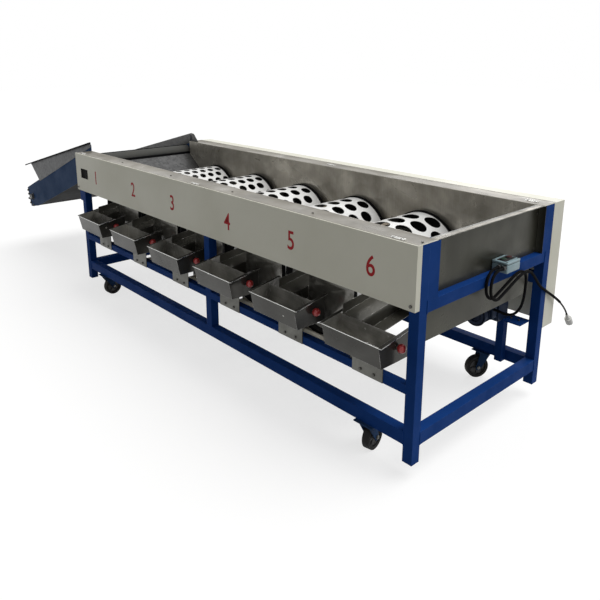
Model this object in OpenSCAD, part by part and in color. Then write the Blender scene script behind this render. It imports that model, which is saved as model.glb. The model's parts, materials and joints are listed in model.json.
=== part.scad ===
// Fruit grading machine: a feed belt, five turning perforated drums, six slides and six trays.
// X runs along the front panel, Y runs to the rear, Z is up. All lengths are millimetres.

/* [Frame] */
// Right end of the frame to the axis of the last drum
end_bay = 681; // [640:1:740]
// Axis of the first drum to the left end of the frame
infeed_bay = 427; // [400:1:470]
// Depth of the frame over the legs
frame_d = 1059; // [1020:1:1120]
// Top flanges above the leg bottoms
top_z = 970; // [950:1:1010]
// Width of the square leg tube
leg_w = 50; // [44:1:56]
// Wall of the frame tubes
tube_t = 3; // [2:0.5:4]
// Underside of the lower rails above the leg bottoms
low_rail_z = 80; // [70:1:100]
// Height of the lower rails
low_rail_h = 60; // [50:1:70]
// Underside of the end rails above the leg bottoms
end_rail_z = 676; // [660:1:690]
// Height of the end rails
end_rail_h = 50; // [44:1:56]
// Width of the square tray rail
tray_rail_w = 40; // [34:1:44]
// Right end of the frame to the middle posts
mid_post_x = 1455; // [1453:1:1460]
// Width of the stile behind the right front leg
stile_w = 68; // [60:1:76]
// Width of the stile before the right rear leg
rear_stile_w = 33; // [28:1:38]
// Width of the motor post
motor_post_w = 40; // [36:1:44]
// Depth of the motor post before the rear legs
motor_post_y = 40; // [36:1:50]
// Right end of the frame to the motor post
motor_post_x = 165; // [150:1:185]

/* [Sheets] */
// Thickness of the sheet metal
sheet_t = 2; // [1.5:0.5:3]
// Front face of the panel to the front legs
panel_d = 30; // [24:1:36]
// Height of the front panel
panel_h = 272; // [255:1:290]
// Depth of the top flange of the front panel
flange_d = 130; // [129:1:132]
// Gap behind the rear legs covered by the rear cover
cover_d = 103; // [90:1:120]
// Bottom edge of the rear cover above the leg bottoms
cover_z = 305; // [280:1:340]
// Rear legs to the rear trough wall
rear_wall_gap = 55; // [54:1:57]
// Bottom edge of the rear trough wall
rear_wall_z = 645; // [642:1:655]
// Width of the folded top of the end plate
end_flange_w = 40; // [34:1:46]
// Rear edge of the lower end plate before the rear legs
low_plate_y = 79; // [60:1:140]
// Bottom edge of the lower end plate
low_plate_z = 525; // [510:1:560]
// Rounded corner of the lower end plate
low_plate_r = 30; // [20:1:60]
// Deck plates above the drum axes
deck_h = 134; // [120:1:150]
// Gap between a drum and the deck plates beside it
deck_gap = 14; // [10:1:18]
// Upper edge of the infeed plate above the leg bottoms
infeed_z = 868; // [840:1:880]

/* [Drums] */
// Distance between drum axes
drum_pitch = 505; // [500:1:515]
// Drum axes above the leg bottoms
drum_z = 578; // [570:1:586]
// Outer radius of the drum shells
drum_r = 238; // [230:1:240]
// Wall of the drum shells
drum_t = 3; // [2.5:0.5:4]
// Holes of the first drum
hole_d_1 = 47; // [40:1:50]
// Holes of the second drum
hole_d_2 = 55; // [48:1:58]
// Holes of the third drum
hole_d_3 = 64; // [56:1:67]
// Holes of the fourth drum
hole_d_4 = 75; // [66:1:78]
// Holes of the last drum
hole_d_5 = 94; // [84:1:98]
// Front face of the front legs to the front rings
drum_front = 104; // [102:1:107]
// Width of the front rings
ring_w = 24; // [20:1:30]
// Radial depth of the front rings
ring_h = 12; // [8:1:16]
// How far the rear discs stand over the shells
disc_lip = 8; // [5:1:9]
// Thickness of the rear discs
disc_t = 8; // [6:1:10]
// Radius of the drum hubs
hub_r = 45; // [36:1:54]
// Radius of the stub shafts
shaft_r = 20; // [16:1:22]
// Radius of the drum sprockets
sprocket_r = 58; // [50:1:62]
// Width of the sprockets
sprocket_w = 12; // [10:1:14]
// Depth of the saddle wood below a drum
saddle_drop = 25; // [20:1:30]
// Half width of a saddle
saddle_w = 110; // [90:1:130]

/* [Slides and trays] */
// Tray centre left of the drum axis
tray_shift = 89; // [85:1:92]
// Width of a tray over its lips
tray_w = 353; // [340:1:354]
// Width of the folded lips
lip_w = 15; // [10:1:18]
// Tray floor above the leg bottoms
tray_z = 438; // [425:1:450]
// Front lip above the tray floor
tray_h = 103; // [95:1:110]
// Front lip before the panel
tray_out = 87; // [75:1:100]
// Lean of the front wall
tray_lean = 22; // [15:1:28]
// Back wall of the tray behind the panel
tray_back = 35; // [32:1:36]
// Rear end of the side walls behind the panel
tray_side = 112; // [100:1:118]
// Rise of the side walls to the rear
tray_rise = 33; // [25:1:38]
// Radius of the red ball handles
knob_r = 20; // [16:1:20]
// Slope of the slides in degrees
slide_a = 9; // [7:0.5:10]
// Slide floor where it crosses the back wall
slide_z = 556; // [553:1:560]
// Width of a slide
slide_w = 110; // [95:1:118]
// Edge of a slide left of its drum axis
slide_off = 63; // [55:1:70]
// Height of the slide wall at the tray
slide_h = 45; // [35:1:55]
// Height of the slide wall at the rear
slide_h_rear = 12; // [8:1:15]
// Depth of the folded skirt of a slide
skirt_h = 65; // [50:1:75]
// Width of the foot flange of a skirt
foot_w = 66; // [40:1:70]
// Length of the skirt
skirt_l = 380; // [300:1:420]

/* [Feed belt] */
// Slope of the belt in degrees
belt_a = 20.6; // [18:0.2:22]
// Head axis left of the frame
head_out = 62; // [58:1:70]
// Head axis above the leg bottoms
head_z = 883; // [878:1:890]
// Distance between the roller axes
belt_l = 1377; // [1250:1:1450]
// Radius of the belt rollers
roller_r = 45; // [38:1:46]
// Thickness of the belt
belt_t = 4; // [3:0.5:5]
// Height of the belt cleats
cleat_h = 20; // [12:1:26]
// Thickness of the belt cleats
cleat_t = 6; // [5:1:8]
// Width of the side plates across the slope
side_w = 211; // [200:1:222]
// Thickness of the side plates
side_t = 4; // [3:0.5:5]
// Side plates beyond the tail axis
tail_over = 90; // [80:1:110]
// Height of the hopper over the low end of the side plate
hopper_h = 167; // [140:1:185]
// Radius of the roller shafts
roller_shaft_r = 12.5; // [10:0.5:14]
// Wall of the belt rollers
roller_t = 5; // [4:0.5:8]

/* [Drive] */
// Right end of the frame to the motor axis
motor_x = 200; // [180:1:230]
// Radius of the motor body
motor_r = 50; // [44:1:52]
// Gap between the gear box and the drive sprocket
motor_y = 8; // [6:1:12]
// Length of the motor body
motor_l = 115; // [105:1:125]
// Length of the gear box
gear_l = 90; // [80:1:95]
// Height of the gear box
gear_h = 116; // [108:1:124]
// Top of the motor mount above the leg bottoms
mount_z = 350; // [340:1:360]
// Thickness of the motor mount
mount_t = 6; // [5:1:8]
// Depth of the motor mount
mount_d = 100; // [90:1:110]
// Radius of the drive sprocket
drive_r = 38; // [34:1:40]
// Depth of the chain outside the sprockets
chain_h = 8; // [6:1:9]

/* [Electrics] */
// Length of the switch box
box_l = 112; // [104:1:120]
// Width of the switch box
box_w = 80; // [70:1:90]
// Height of the switch box
box_h = 52; // [46:1:60]
// Front face of the switch box
box_y = 600; // [596:1:604]
// Overhang of the switch box past the right end
box_out = 45; // [42:1:52]
// Wall of the switch box
box_t = 3; // [2.5:0.5:4]
// Radius of the push buttons
button_r = 12; // [10:0.5:14]
// Height of the push buttons above the box
button_h = 7; // [5:1:10]
// Radius of the cable sleeves
sleeve_r = 7; // [6:0.5:7]
// Radius of the mains lead
lead_r = 4.5; // [4:0.5:5]
// Radius of the plug
plug_r = 19; // [16:1:21]
// Length of the plug body
plug_l = 40; // [34:1:46]

/* [Casters] */
// Wheel radius
wheel_r = 62.5; // [56:0.5:63]
// Wheel width
wheel_w = 36; // [30:1:40]
// Right end of the frame to the right front caster
caster_x = 265; // [220:1:320]
// Right end of the frame to the right rear caster
caster_rear_x = 305; // [260:1:360]
// Left end of the frame to the left casters
caster_left_x = 265; // [220:1:320]
// Length of the caster plates
plate_l = 105; // [95:1:115]
// Width of the caster plates
plate_w = 85; // [78:1:92]
// Thickness of the caster plates
plate_t = 5; // [4:0.5:6]
// Trail of the caster wheels
trail = 40; // [34:1:42]
// Gap above the wheel inside the fork
wheel_gap = 16; // [13:1:18]
// Swivel pin radius
pin_r = 9; // [8:0.5:10]
// Fork sheet thickness
fork_t = 4; // [3:0.5:5]
// Axle radius
axle_r = 6; // [5:0.5:7]

/* [Hidden] */

// Overrun of every cut, seats, running fits and side play
cut = 1;
seat = 0.2;
fit = 0.05;
play = 0.5;
loose = 0.3;
fine = 64;
round_fn = 96;
hole_fn = 32;

// Small sizes shared by several pieces
disc_gap = 18;
bar_out = 60;
box_gap = 2;
gland_l = 18;
hub_more = 6;
bracket_drop = 76;
last_shift = 42;
last_gap = 18;
wide_back = 218;
pitch_disc_r = 246;
knob_space = 2;
post_gap = 1.5;
bracket_left = 81;
bracket_right = 95;
bracket_reach = 50;
upright_gap = 6;
upright_w = 20;
knob_up = 68;
stud_r = 6;
bolt_in = 21;
bolt_r = 7;
bolt_h = 5;
bolt_left = 32;
bolt_right = 45;
screw_share = 0.7;
bearing_wall = 12;
flange_t = 6;
tail_nose = 8;
nose_share = 0.71;
belt_gap = 6;
cleat_share = 0.5;
hopper_shares = [0.43, 2.41, 0.72, 0.11];
hopper_lap = 18;
fins = 7;
fin_h = 5;
term_shares = [0.35, 0.75];
term_h = 24;
gear_shaft_r = 14;
feed_share = 0.8;
gland_wall = 3;
neck_share = 0.55;
nut_t = 5;
crown_r = 30;
arm_r = 16;
edge_share = 0.35;
hub_wall = 8;
web_share = 0.6;
tread_share = 0.74;
stagger_share = 0.5;
hole_deep = 12;
collar_t = 3;

// Frame levels; the bays and the pitch are given for discs of one radius and follow a larger or smaller drum
drums = 5;
outlets = 6;
disc_more = drum_r + disc_lip - pitch_disc_r;
handle_reach = tray_w / 2 - lip_w + cut + 2 * knob_r;
pitch = max(drum_pitch + 2 * disc_more, tray_w / 2 + handle_reach + leg_w + 2 * post_gap + knob_space);
post_x = mid_post_x + disc_more + pitch - drum_pitch;
frame_l = end_bay + (drums - 1) * pitch + infeed_bay + 2 * disc_more;
left_x = -frame_l;
leg_y = panel_d;
leg_back = leg_y + leg_w;
rear_out = leg_y + frame_d;
rear_y = rear_out - leg_w;
under_top = top_z - sheet_t;
low_rail_top = low_rail_z + low_rail_h;
end_rail_top = end_rail_z + end_rail_h;
tray_rail_z = drum_z - drum_r - saddle_drop;
tray_rail_top = tray_rail_z + tray_rail_w;
tray_rail_back = leg_y + tray_rail_w;
panel_z = top_z - panel_h;
wall_back = flange_d - sheet_t;
wall_front = wall_back - sheet_t;
rear_wall_y = rear_y - rear_wall_gap;
cover_y = rear_out + cover_d;
bear_rail_z = drum_z - leg_w / 2;
bear_rail_top = drum_z + leg_w / 2;

// Drums, slides and trays
function drum_x(k) = -end_bay - disc_more - (drums - 1 - k) * pitch;
last_slide_x = drum_x(drums - 1) + drum_r + disc_lip + last_gap + slide_w;
last_tray_x = min(last_slide_x + last_shift, -leg_w - knob_space - handle_reach);
function tray_x(k) = k < drums ? drum_x(k) - tray_shift : last_tray_x;
ring_y = leg_y + drum_front;
shell_y = ring_y + ring_w;
disc_y = rear_wall_y - disc_gap - disc_t;
shell_l = disc_y - shell_y;
sprocket_y = rear_wall_y + disc_t;
feed_sprocket_y = sprocket_y + sprocket_w + sheet_t;
bearing_w = 19;
shaft_end = rear_y - sheet_t;
hole_ds = [hole_d_1, hole_d_2, hole_d_3, hole_d_4, hole_d_5];
hole_rows = [24, 20, 18, 16, 14];
hole_counts = [11, 10, 8, 7, 6];
slide_lip = tray_back - sheet_t;
slide_rear = disc_y - disc_t;
slide_fall = tan(slide_a);
function slide_floor(y) = slide_z + (y - tray_back) * slide_fall;

// Feed belt
head_x = left_x - head_out;
tail_x = head_x - belt_l * cos(belt_a);
tail_z = head_z - belt_l * sin(belt_a);
plate_cut_x = left_x - side_t;
near_y = wall_front;
far_y = rear_wall_y + 4 * side_t;
half_w = side_w / 2;
function cut_u(v) = (plate_cut_x - tail_x + v * sin(belt_a)) / cos(belt_a);
function side_low_z(x) = tail_z + (x - tail_x) * tan(belt_a) - half_w / cos(belt_a);
function side_top_z(x) = tail_z + (x - tail_x) * tan(belt_a) + half_w / cos(belt_a);
bar_w = 40;
bar_x = left_x - bar_out;
bar_top = side_low_z(bar_x) - seat;

// Drive and electrics
motor_z = mount_z + gear_h / 2;
gear_back = sprocket_y - motor_y;
gear_y = gear_back - gear_l;
motor_front = gear_y - motor_l;
box_x = box_out - box_w;
box_top = end_rail_top + box_h;
end_plate_in = sheet_t + box_gap - box_x;
button_y_shares = [0.3, 0.7];
gland_y = box_y - gland_l;
gland_z = 754;
motor_gland_x = 8;
mains_gland_x = 32;

// Routes of the two cables, chosen by hand
mains_route = [[32, 582, 754], [32, 570, 754], [32, 560, 754], [32, 544, 752], [31, 529, 746], [31, 516, 736],
    [31, 506, 723], [31, 500, 708], [31, 498, 692], [31, 498, 676], [31, 500, 661], [31, 505, 647],
    [31, 514, 635], [31, 525, 625], [31, 538, 618], [31, 553, 614], [31, 568, 614], [31, 582, 618],
    [31, 640, 640], [31, 700, 664], [31, 735, 677], [31, 755, 683], [31, 775, 687], [31, 796, 688],
    [31, 817, 686], [31, 838, 680], [27, 858, 671], [26, 876, 659], [24, 900, 640], [20, 930, 616],
    [15, 960, 592], [10, 990, 569], [8, 1020, 548], [8, 1050, 530], [8, 1080, 512], [9, 1110, 494],
    [12, 1140, 475], [16, 1170, 455], [20, 1200, 433], [22, 1215, 421]];
lead_route = [[22, 1215, 421], [22, 1217, 419], [24, 1240, 399], [26, 1262, 377], [28, 1282, 354], [28, 1300, 330]];
motor_route = [[8, 582, 754], [8, 570, 754], [8, 560, 754], [8, 544, 752], [8, 529, 746], [8, 516, 736],
    [8, 506, 723], [8, 500, 708], [8, 498, 692], [8, 498, 676], [8, 500, 661], [8, 505, 647],
    [8, 514, 635], [8, 525, 625], [8, 538, 618], [8, 553, 614], [8, 568, 614], [8, 582, 618],
    [8, 640, 640], [8, 700, 664], [8, 735, 677], [8, 755, 683], [8, 775, 686], [8, 796, 685],
    [8, 816, 679], [8, 834, 668], [7, 847, 653], [6, 855, 635], [5, 859, 616], [4, 861, 596],
    [4, 861, 576], [4, 859, 556], [4, 856, 536], [3, 851, 517], [1, 846, 499], [-3, 840, 483],
    [-10, 834, 468], [-19, 828, 456], [-31, 824, 447], [-45, 822, 441], [-62, 823, 438], [-80, 825, 437],
    [-98, 828, 437], [-116, 831, 437], [-128, 832, 437], [-138, 832, 437]];
lead_dir = 53;
plug_at = [28, 1300, 330];
relief_l = 36;
pin_gap = 19;
plug_pin_r = 2.4;
plug_pin_l = 19;
tube_sides = 10;

// Casters
fork_top = low_rail_z - plate_t - loose;
crown_t = 10;
axle_z = fork_top - crown_t - wheel_gap - wheel_r;
floor_z = axle_z - wheel_r;
hub_w = wheel_w + hub_more;
fork_in = hub_w / 2 + play;
fork_out = fork_in + fork_t;
caster_turns = [-80, 60, -85, -120];
caster_places = [[-caster_x, leg_y + leg_w / 2], [-caster_rear_x, rear_out - leg_w / 2],
    [left_x + caster_left_x, leg_y + leg_w / 2], [left_x + caster_left_x, rear_out - leg_w / 2]];

// The middle of the footprint at the floor is the origin
x_lo = tail_x - tail_over * cos(belt_a) - half_w * sin(belt_a);
x_hi = box_out;
y_lo = -tray_out;
y_hi = cover_y;
origin = [(x_lo + x_hi) / 2, (y_lo + y_hi) / 2, floor_z];

frame_blue = "#1b3f86";
navy = "#142a55";
panel_white = "#dddbcc";
stainless = "#9a9a90";
zinc = "#b8babb";
dark = "#2b2c2e";

// Everything is drawn from the right end of the panel and moved to the origin
module place() {
    translate(-origin)
        children();
}

// Box between two corners
module block(lo, hi) {
    translate(lo)
        cube(hi - lo);
}

// Open square tube between two corners along one axis
module tube(lo, hi, axis) {
    inset = [for (i = [0 : 2]) i == axis ? -cut : tube_t];
    difference() {
        block(lo, hi);
        block(lo + inset, hi - inset);
    }
}

// Rod along Y
module rod(r, y0, y1) {
    translate([0, y0, 0])
        rotate([-90, 0, 0])
            cylinder(r = r, h = y1 - y0, $fn = fine);
}

// Profile drawn in Y and Z, drawn out along X
module yz_bar(points, x0, x1) {
    translate([x0, 0, 0])
        rotate([90, 0, 90])
            linear_extrude(height = x1 - x0)
                polygon(points);
}

// Profile drawn in X and Z, drawn out along Y
module xz_bar(points, y0, y1) {
    translate([0, y1, 0])
        rotate([90, 0, 0])
            linear_extrude(height = y1 - y0)
                polygon(points);
}

// Moves a piece drawn along the belt slope to the feed belt
module on_slope() {
    translate([tail_x, 0, tail_z])
        rotate([0, -belt_a, 0])
            children();
}

// Direction of a route at one point
function route_dir(p, i) =
    let (a = p[max(i - 1, 0)], b = p[min(i + 1, len(p) - 1)]) (b - a) / norm(b - a);

function turned(n, t) = let (m = n - (n * t) * t) m / norm(m);

// Round tube swept along a route
module swept(route, r) {
    n = len(route);
    sides = [for (i = 0, s = turned([1, 0, 0], route_dir(route, 0)); i < n;
        i = i + 1, s = i < n ? turned(s, route_dir(route, i)) : s) s];
    points = [for (i = [0 : n - 1], j = [0 : tube_sides - 1])
        let (a = 360 * j / tube_sides, w = cross(route_dir(route, i), sides[i]))
        route[i] + r * (cos(a) * sides[i] + sin(a) * w)];
    skin = [for (i = [0 : n - 2], j = [0 : tube_sides - 1])
        let (k = (j + 1) % tube_sides, a = i * tube_sides, b = (i + 1) * tube_sides)
        each [[a + j, b + k, a + k], [a + j, b + j, b + k]]];
    first = [for (j = [0 : tube_sides - 1]) j];
    last = [for (j = [tube_sides - 1 : -1 : 0]) (n - 1) * tube_sides + j];
    polyhedron(points = points, faces = concat(skin, [first, last]));
}

// Frame
module corner_legs() {
    color(frame_blue) place()
        for (x = [left_x, -leg_w], y = [leg_y, rear_y])
            tube([x, y, 0], [x + leg_w, y + leg_w, under_top], 2);
}

module lower_rails() {
    color(frame_blue) place() {
        for (y = [leg_y, rear_y])
            tube([left_x + leg_w, y, low_rail_z], [-leg_w, y + leg_w, low_rail_top], 0);
        for (x = [left_x, -leg_w])
            tube([x, leg_back, low_rail_z], [x + leg_w, rear_y, low_rail_top], 1);
    }
}

module upper_rails() {
    color(frame_blue) place() {
        for (x = [left_x, -leg_w])
            tube([x, leg_back, end_rail_z], [x + leg_w, rear_y, end_rail_top], 1);
        tube([left_x + leg_w, rear_y, bear_rail_z], [-leg_w, rear_out, bear_rail_top], 0);
    }
}

module tray_rail() {
    color(frame_blue) place()
        tube([left_x + leg_w, leg_y, tray_rail_z], [-leg_w, tray_rail_back, tray_rail_top], 0);
}

module posts() {
    x1 = min(-post_x, tray_x(outlets / 2) - tray_w / 2 - post_gap);
    x0 = x1 - leg_w;
    color(frame_blue) place() {
        tube([x0, leg_y, low_rail_top], [x1, leg_back, tray_rail_z], 2);
        tube([x0, leg_y, tray_rail_top], [x1, leg_back, under_top], 2);
        tube([x0, rear_y, low_rail_top], [x1, rear_out, bear_rail_z], 2);
        tube([x0, rear_y, bear_rail_top], [x1, rear_out, under_top], 2);
        tube([-leg_w, leg_back, end_rail_top], [0, leg_back + stile_w, under_top], 2);
        tube([-leg_w, rear_y - rear_stile_w, end_rail_top], [0, rear_y, under_top], 2);
        tube([-motor_post_x - motor_post_w, rear_y - motor_post_y, low_rail_z],
            [-motor_post_x, rear_y, mount_z - mount_t], 2);
    }
}

// Sheets
module front_panel() {
    color(panel_white) place() {
        union() {
            block([left_x, 0, panel_z], [0, sheet_t, top_z]);
            block([left_x, 0, under_top], [0, flange_d, top_z]);
            block([left_x, 0, panel_z], [0, panel_d, panel_z + sheet_t]);
            block([left_x, 0, panel_z], [left_x + sheet_t, panel_d, top_z]);
            block([-sheet_t, 0, panel_z], [0, panel_d, top_z]);
        }
    }
}

module rear_cover() {
    color(panel_white) place() {
        union() {
            block([left_x, rear_wall_y, under_top], [0, cover_y, top_z]);
            block([left_x, cover_y - sheet_t, cover_z], [0, cover_y, top_z]);
            block([left_x, rear_out, cover_z], [left_x + sheet_t, cover_y, top_z]);
            block([-sheet_t, rear_out, cover_z], [0, cover_y, top_z]);
        }
    }
}

module trough_walls() {
    color(stainless) place() {
        union() {
            block([left_x, wall_front, end_rail_top], [-leg_w, wall_back, under_top]);
            block([left_x + leg_w, wall_front, panel_z], [-leg_w, wall_back, under_top]);
        }
        union() {
            block([left_x, rear_wall_y, end_rail_top], [-end_plate_in, rear_wall_y + sheet_t, under_top]);
            block([left_x + leg_w, rear_wall_y, rear_wall_z], [-leg_w, rear_wall_y + sheet_t, under_top]);
        }
    }
}

module end_plates() {
    low_h = end_rail_z - low_plate_z;
    low_l = rear_y - low_plate_y - leg_back;
    color(stainless) place() {
        union() {
            block([-end_plate_in, leg_back + stile_w, end_rail_top],
                [sheet_t - end_plate_in, rear_y - rear_stile_w, under_top]);
            block([-end_flange_w, flange_d, under_top], [0, rear_wall_y, top_z]);
        }
        translate([-end_plate_in, leg_back, low_plate_z])
            rotate([90, 0, 90])
                linear_extrude(height = sheet_t)
                    union() {
                        square([low_l - low_plate_r, low_h]);
                        translate([0, low_plate_r])
                            square([low_l, low_h - low_plate_r]);
                        translate([low_l - low_plate_r, low_plate_r])
                            intersection() {
                                circle(r = low_plate_r, $fn = fine);
                                translate([0, -low_plate_r])
                                    square(low_plate_r);
                            }
                    }
    }
}

module deck_plates() {
    reach = sqrt(pow(drum_r + deck_gap, 2) - pow(deck_h, 2));
    color(stainless) place()
        for (k = [0 : drums - 2])
            block([drum_x(k) + reach, wall_back, drum_z + deck_h - sheet_t],
                [drum_x(k + 1) - reach, rear_wall_y, drum_z + deck_h]);
}

module infeed_plate() {
    reach = sqrt(pow(drum_r + deck_gap, 2) - pow(deck_h, 2));
    x0 = left_x - sheet_t;
    x1 = drum_x(0) - reach;
    z1 = drum_z + deck_h;
    color(stainless) place()
        xz_bar([[x0, infeed_z], [x0, infeed_z - sheet_t], [x1, z1 - sheet_t], [x1, z1]],
            wall_back, rear_wall_y);
}

module conveyor_brackets() {
    z0 = end_rail_z - bracket_drop;
    color(frame_blue) place() {
        block([bar_x, leg_back - bar_w, z0], [left_x, leg_back, bar_top]);
        block([bar_x, rear_y, z0], [left_x, rear_y + bar_w, bar_top]);
        tube([bar_x, leg_back + seat, bar_top - bar_w], [bar_x + bar_w, rear_y - seat, bar_top], 1);
    }
}

// Slides and trays
module slide_wall(x, y0, y1, low0, high0, low1, high1) {
    yz_bar([[y0, slide_floor(y0) + low0], [y1, slide_floor(y1) + low1],
        [y1, slide_floor(y1) + high1], [y0, slide_floor(y0) + high0]], x, x + sheet_t);
}

module slide_sheet(x0, x1, y0, y1, drop) {
    yz_bar([[y0, slide_floor(y0) - drop - sheet_t], [y1, slide_floor(y1) - drop - sheet_t],
        [y1, slide_floor(y1) - drop], [y0, slide_floor(y0) - drop]], x0, x1);
}

module one_slide(x, wide) {
    skirt_y = slide_lip + skirt_l;
    union() {
        slide_sheet(x - slide_w, x, slide_lip, slide_rear, 0);
        slide_wall(x - slide_w, slide_lip, slide_rear, -sheet_t, slide_h, -sheet_t, slide_h_rear);
        slide_wall(x - sheet_t, tray_back + sheet_t, skirt_y, -skirt_h, -sheet_t / 2, -skirt_h, -sheet_t / 2);
        slide_sheet(x - sheet_t, x + foot_w, tray_back + sheet_t, skirt_y, skirt_h - sheet_t);
        if (wide > 0)
            slide_sheet(x - sheet_t, x + wide, slide_lip + wide_back, slide_rear, 0);
    }
}

module slides() {
    color(stainless) place() {
        for (k = [0 : drums - 1])
            one_slide(drum_x(k) - slide_off, 0);
        one_slide(last_slide_x, -last_slide_x - leg_w - disc_t);
    }
}

// Box tray, seen along X from its right side
module tray(k) {
    x0 = tray_x(k) - tray_w / 2;
    x1 = tray_x(k) + tray_w / 2;
    y0 = -tray_out;
    y1 = tray_lean - tray_out;
    z0 = tray_z;
    z1 = tray_z + tray_h;
    side = [[y0, z1], [y1, z0], [tray_back, z0], [tray_side, z0 + sheet_t], [tray_side, z1 + tray_rise]];
    color(stainless) place() {
        union() {
            for (x = [x0 + lip_w, x1 - lip_w - sheet_t])
                yz_bar(side, x, x + sheet_t);
            for (x = [x0, x1 - lip_w - sheet_t])
                yz_bar([[y0, z1], [tray_side, z1 + tray_rise], [tray_side, z1 + tray_rise - sheet_t],
                    [y0, z1 - sheet_t]], x, x + lip_w + sheet_t);
            yz_bar([[y0, z1], [y1, z0], [y1 + sheet_t, z0], [y0 + sheet_t, z1]], x0 + lip_w, x1 - lip_w);
            block([x0 + lip_w, y1, z0], [x1 - lip_w, tray_back, z0 + sheet_t]);
            block([x0 + lip_w, tray_back - sheet_t, z0], [x1 - lip_w, tray_back, slide_floor(slide_lip) - sheet_t - seat]);
        }
    }
}

module tray_1() { tray(0); }
module tray_2() { tray(1); }
module tray_3() { tray(2); }
module tray_4() { tray(3); }
module tray_5() { tray(4); }
module tray_6() { tray(5); }

module tray_brackets() {
    color(zinc) place()
        for (k = [0 : outlets - 1]) {
            union() {
                block([tray_x(k) - bracket_left, leg_y - side_t, tray_rail_z],
                    [tray_x(k) + bracket_right, leg_y, tray_z]);
                block([tray_x(k) - bracket_left, leg_y - bracket_reach, tray_z - side_t],
                    [tray_x(k) + bracket_right, leg_y, tray_z]);
            }
            x = (k < drums ? drum_x(k) - slide_off : last_slide_x) - slide_w / 2;
            y0 = tray_back + upright_gap;
            y1 = y0 + upright_w;
            yz_bar([[y0, tray_rail_top], [y1, tray_rail_top], [y1, slide_floor(y1) - sheet_t],
                [y0, slide_floor(y0) - sheet_t]], x - upright_w / 2, x + upright_w / 2);
        }
}

module tray_knobs() {
    wall = tray_w / 2 - lip_w;
    color("#b3121d") place()
        for (k = [0 : outlets - 1])
            translate([tray_x(k) + wall, tray_back, tray_z + knob_up])
                union() {
                    translate([knob_r + cut, 0, 0])
                        sphere(r = knob_r, $fn = fine);
                    rotate([0, 90, 0])
                        cylinder(r = stud_r, h = knob_r, $fn = hole_fn);
                }
}

module frame_bolts() {
    color(zinc) place() {
        for (x = [left_x + bolt_in, -bolt_in])
            translate([x, 0, panel_z + bolt_in])
                rotate([90, 0, 0])
                    cylinder(r = bolt_r, h = bolt_h, $fn = hole_fn);
        for (k = [0 : outlets - 1], x = [-bolt_left, bolt_right])
            translate([tray_x(k) + x, leg_y - side_t, tray_rail_z + tray_rail_w / 2])
                rotate([90, 0, 0])
                    cylinder(r = bolt_r, h = bolt_h, $fn = 6);
        for (k = [0 : drums])
            translate([left_x + bolt_in + k * (frame_l - 2 * bolt_in) / drums, leg_y + leg_w / 2, top_z])
                cylinder(r = bolt_r * screw_share, h = bolt_h * screw_share, $fn = hole_fn);
        for (n = [1, 3])
            translate([gear_h / 2 - motor_x + n * bolt_in, rear_y - mount_d / 2, mount_z])
                cylinder(r = bolt_r, h = bolt_h, $fn = 6);
        for (y = [leg_back + stile_w + bolt_in, rear_y - rear_stile_w - bolt_in], z = [end_rail_top, top_z])
            translate([sheet_t - end_plate_in, y, z + (z < top_z ? bolt_in : -2 * bolt_in)])
                rotate([0, 90, 0])
                    cylinder(r = bolt_r * screw_share, h = bolt_h * screw_share, $fn = hole_fn);
    }
}

// Bearing housing along Y, its flange at the far end
module bearing(r, y0, y1, wide, high, bore) {
    difference() {
        union() {
            rod(r, y0, y1);
            block([-wide, y1 - flange_t, -high], [wide, y1, high]);
        }
        rod(bore, y0 - cut, y1 + cut);
    }
}

module bearings() {
    r = shaft_r + bearing_wall;
    q = roller_shaft_r + bearing_wall;
    color("#3c3f42") place() {
        for (k = [0 : drums - 1])
            translate([drum_x(k), 0, drum_z])
                bearing(r, rear_y - bearing_w, rear_y, r + bearing_wall, leg_w / 2, shaft_r + fit);
        for (u = [0, belt_l])
            on_slope()
                translate([u, 0, 0])
                    bearing(q, near_y - bearing_w, near_y, q + bearing_wall / 2, q, roller_shaft_r + fit);
        on_slope()
            translate([0, 2 * far_y + side_t, 0])
                mirror([0, 1, 0])
                    bearing(q, far_y - bearing_w, far_y, q + bearing_wall / 2, q, roller_shaft_r + fit);
        on_slope()
            translate([belt_l, 0, 0])
                bearing(q, far_y - bearing_w, far_y, q + bearing_wall / 2, q, roller_shaft_r + fit);
    }
}

module drum_saddles() {
    foot_y = ring_y + sheet_t;
    head_y = shell_y - sheet_t;
    horn = drum_z - sqrt(pow(drum_r, 2) - pow(saddle_w, 2));
    color("#e7e4d8") place()
        for (k = [0 : drums - 1])
            translate([drum_x(k), 0, 0])
                difference() {
                    union() {
                        block([-saddle_w, tray_rail_back, tray_rail_z], [saddle_w, head_y, drum_z - drum_r - cut]);
                        block([-saddle_w, foot_y, tray_rail_z], [saddle_w, head_y, horn]);
                    }
                    translate([0, 0, drum_z])
                        rotate([-90, 0, 0])
                            cylinder(r = drum_r + loose, h = rear_y, $fn = round_fn);
                }
}

// Feed belt
module conveyor_plates() {
    outline = [[-tail_over, half_w], [-tail_over - tail_nose, -half_w * nose_share],
        [tail_over, -half_w], [cut_u(-half_w), -half_w], [cut_u(half_w), half_w]];
    color(navy) place()
        for (y = [near_y, far_y])
            on_slope()
                difference() {
                    xz_bar(outline, y, y + side_t);
                    for (u = [0, belt_l])
                        translate([u, 0, 0])
                            rod(roller_shaft_r + bearing_wall / 2, y - cut, y + side_t + cut);
                }
}

// Loop around both rollers
module belt_loop(r, y0, y1) {
    union() {
        rod(r, y0, y1);
        translate([belt_l, 0, 0])
            rod(r, y0, y1);
        block([0, y0, -r], [belt_l, y1, r]);
    }
}

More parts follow.
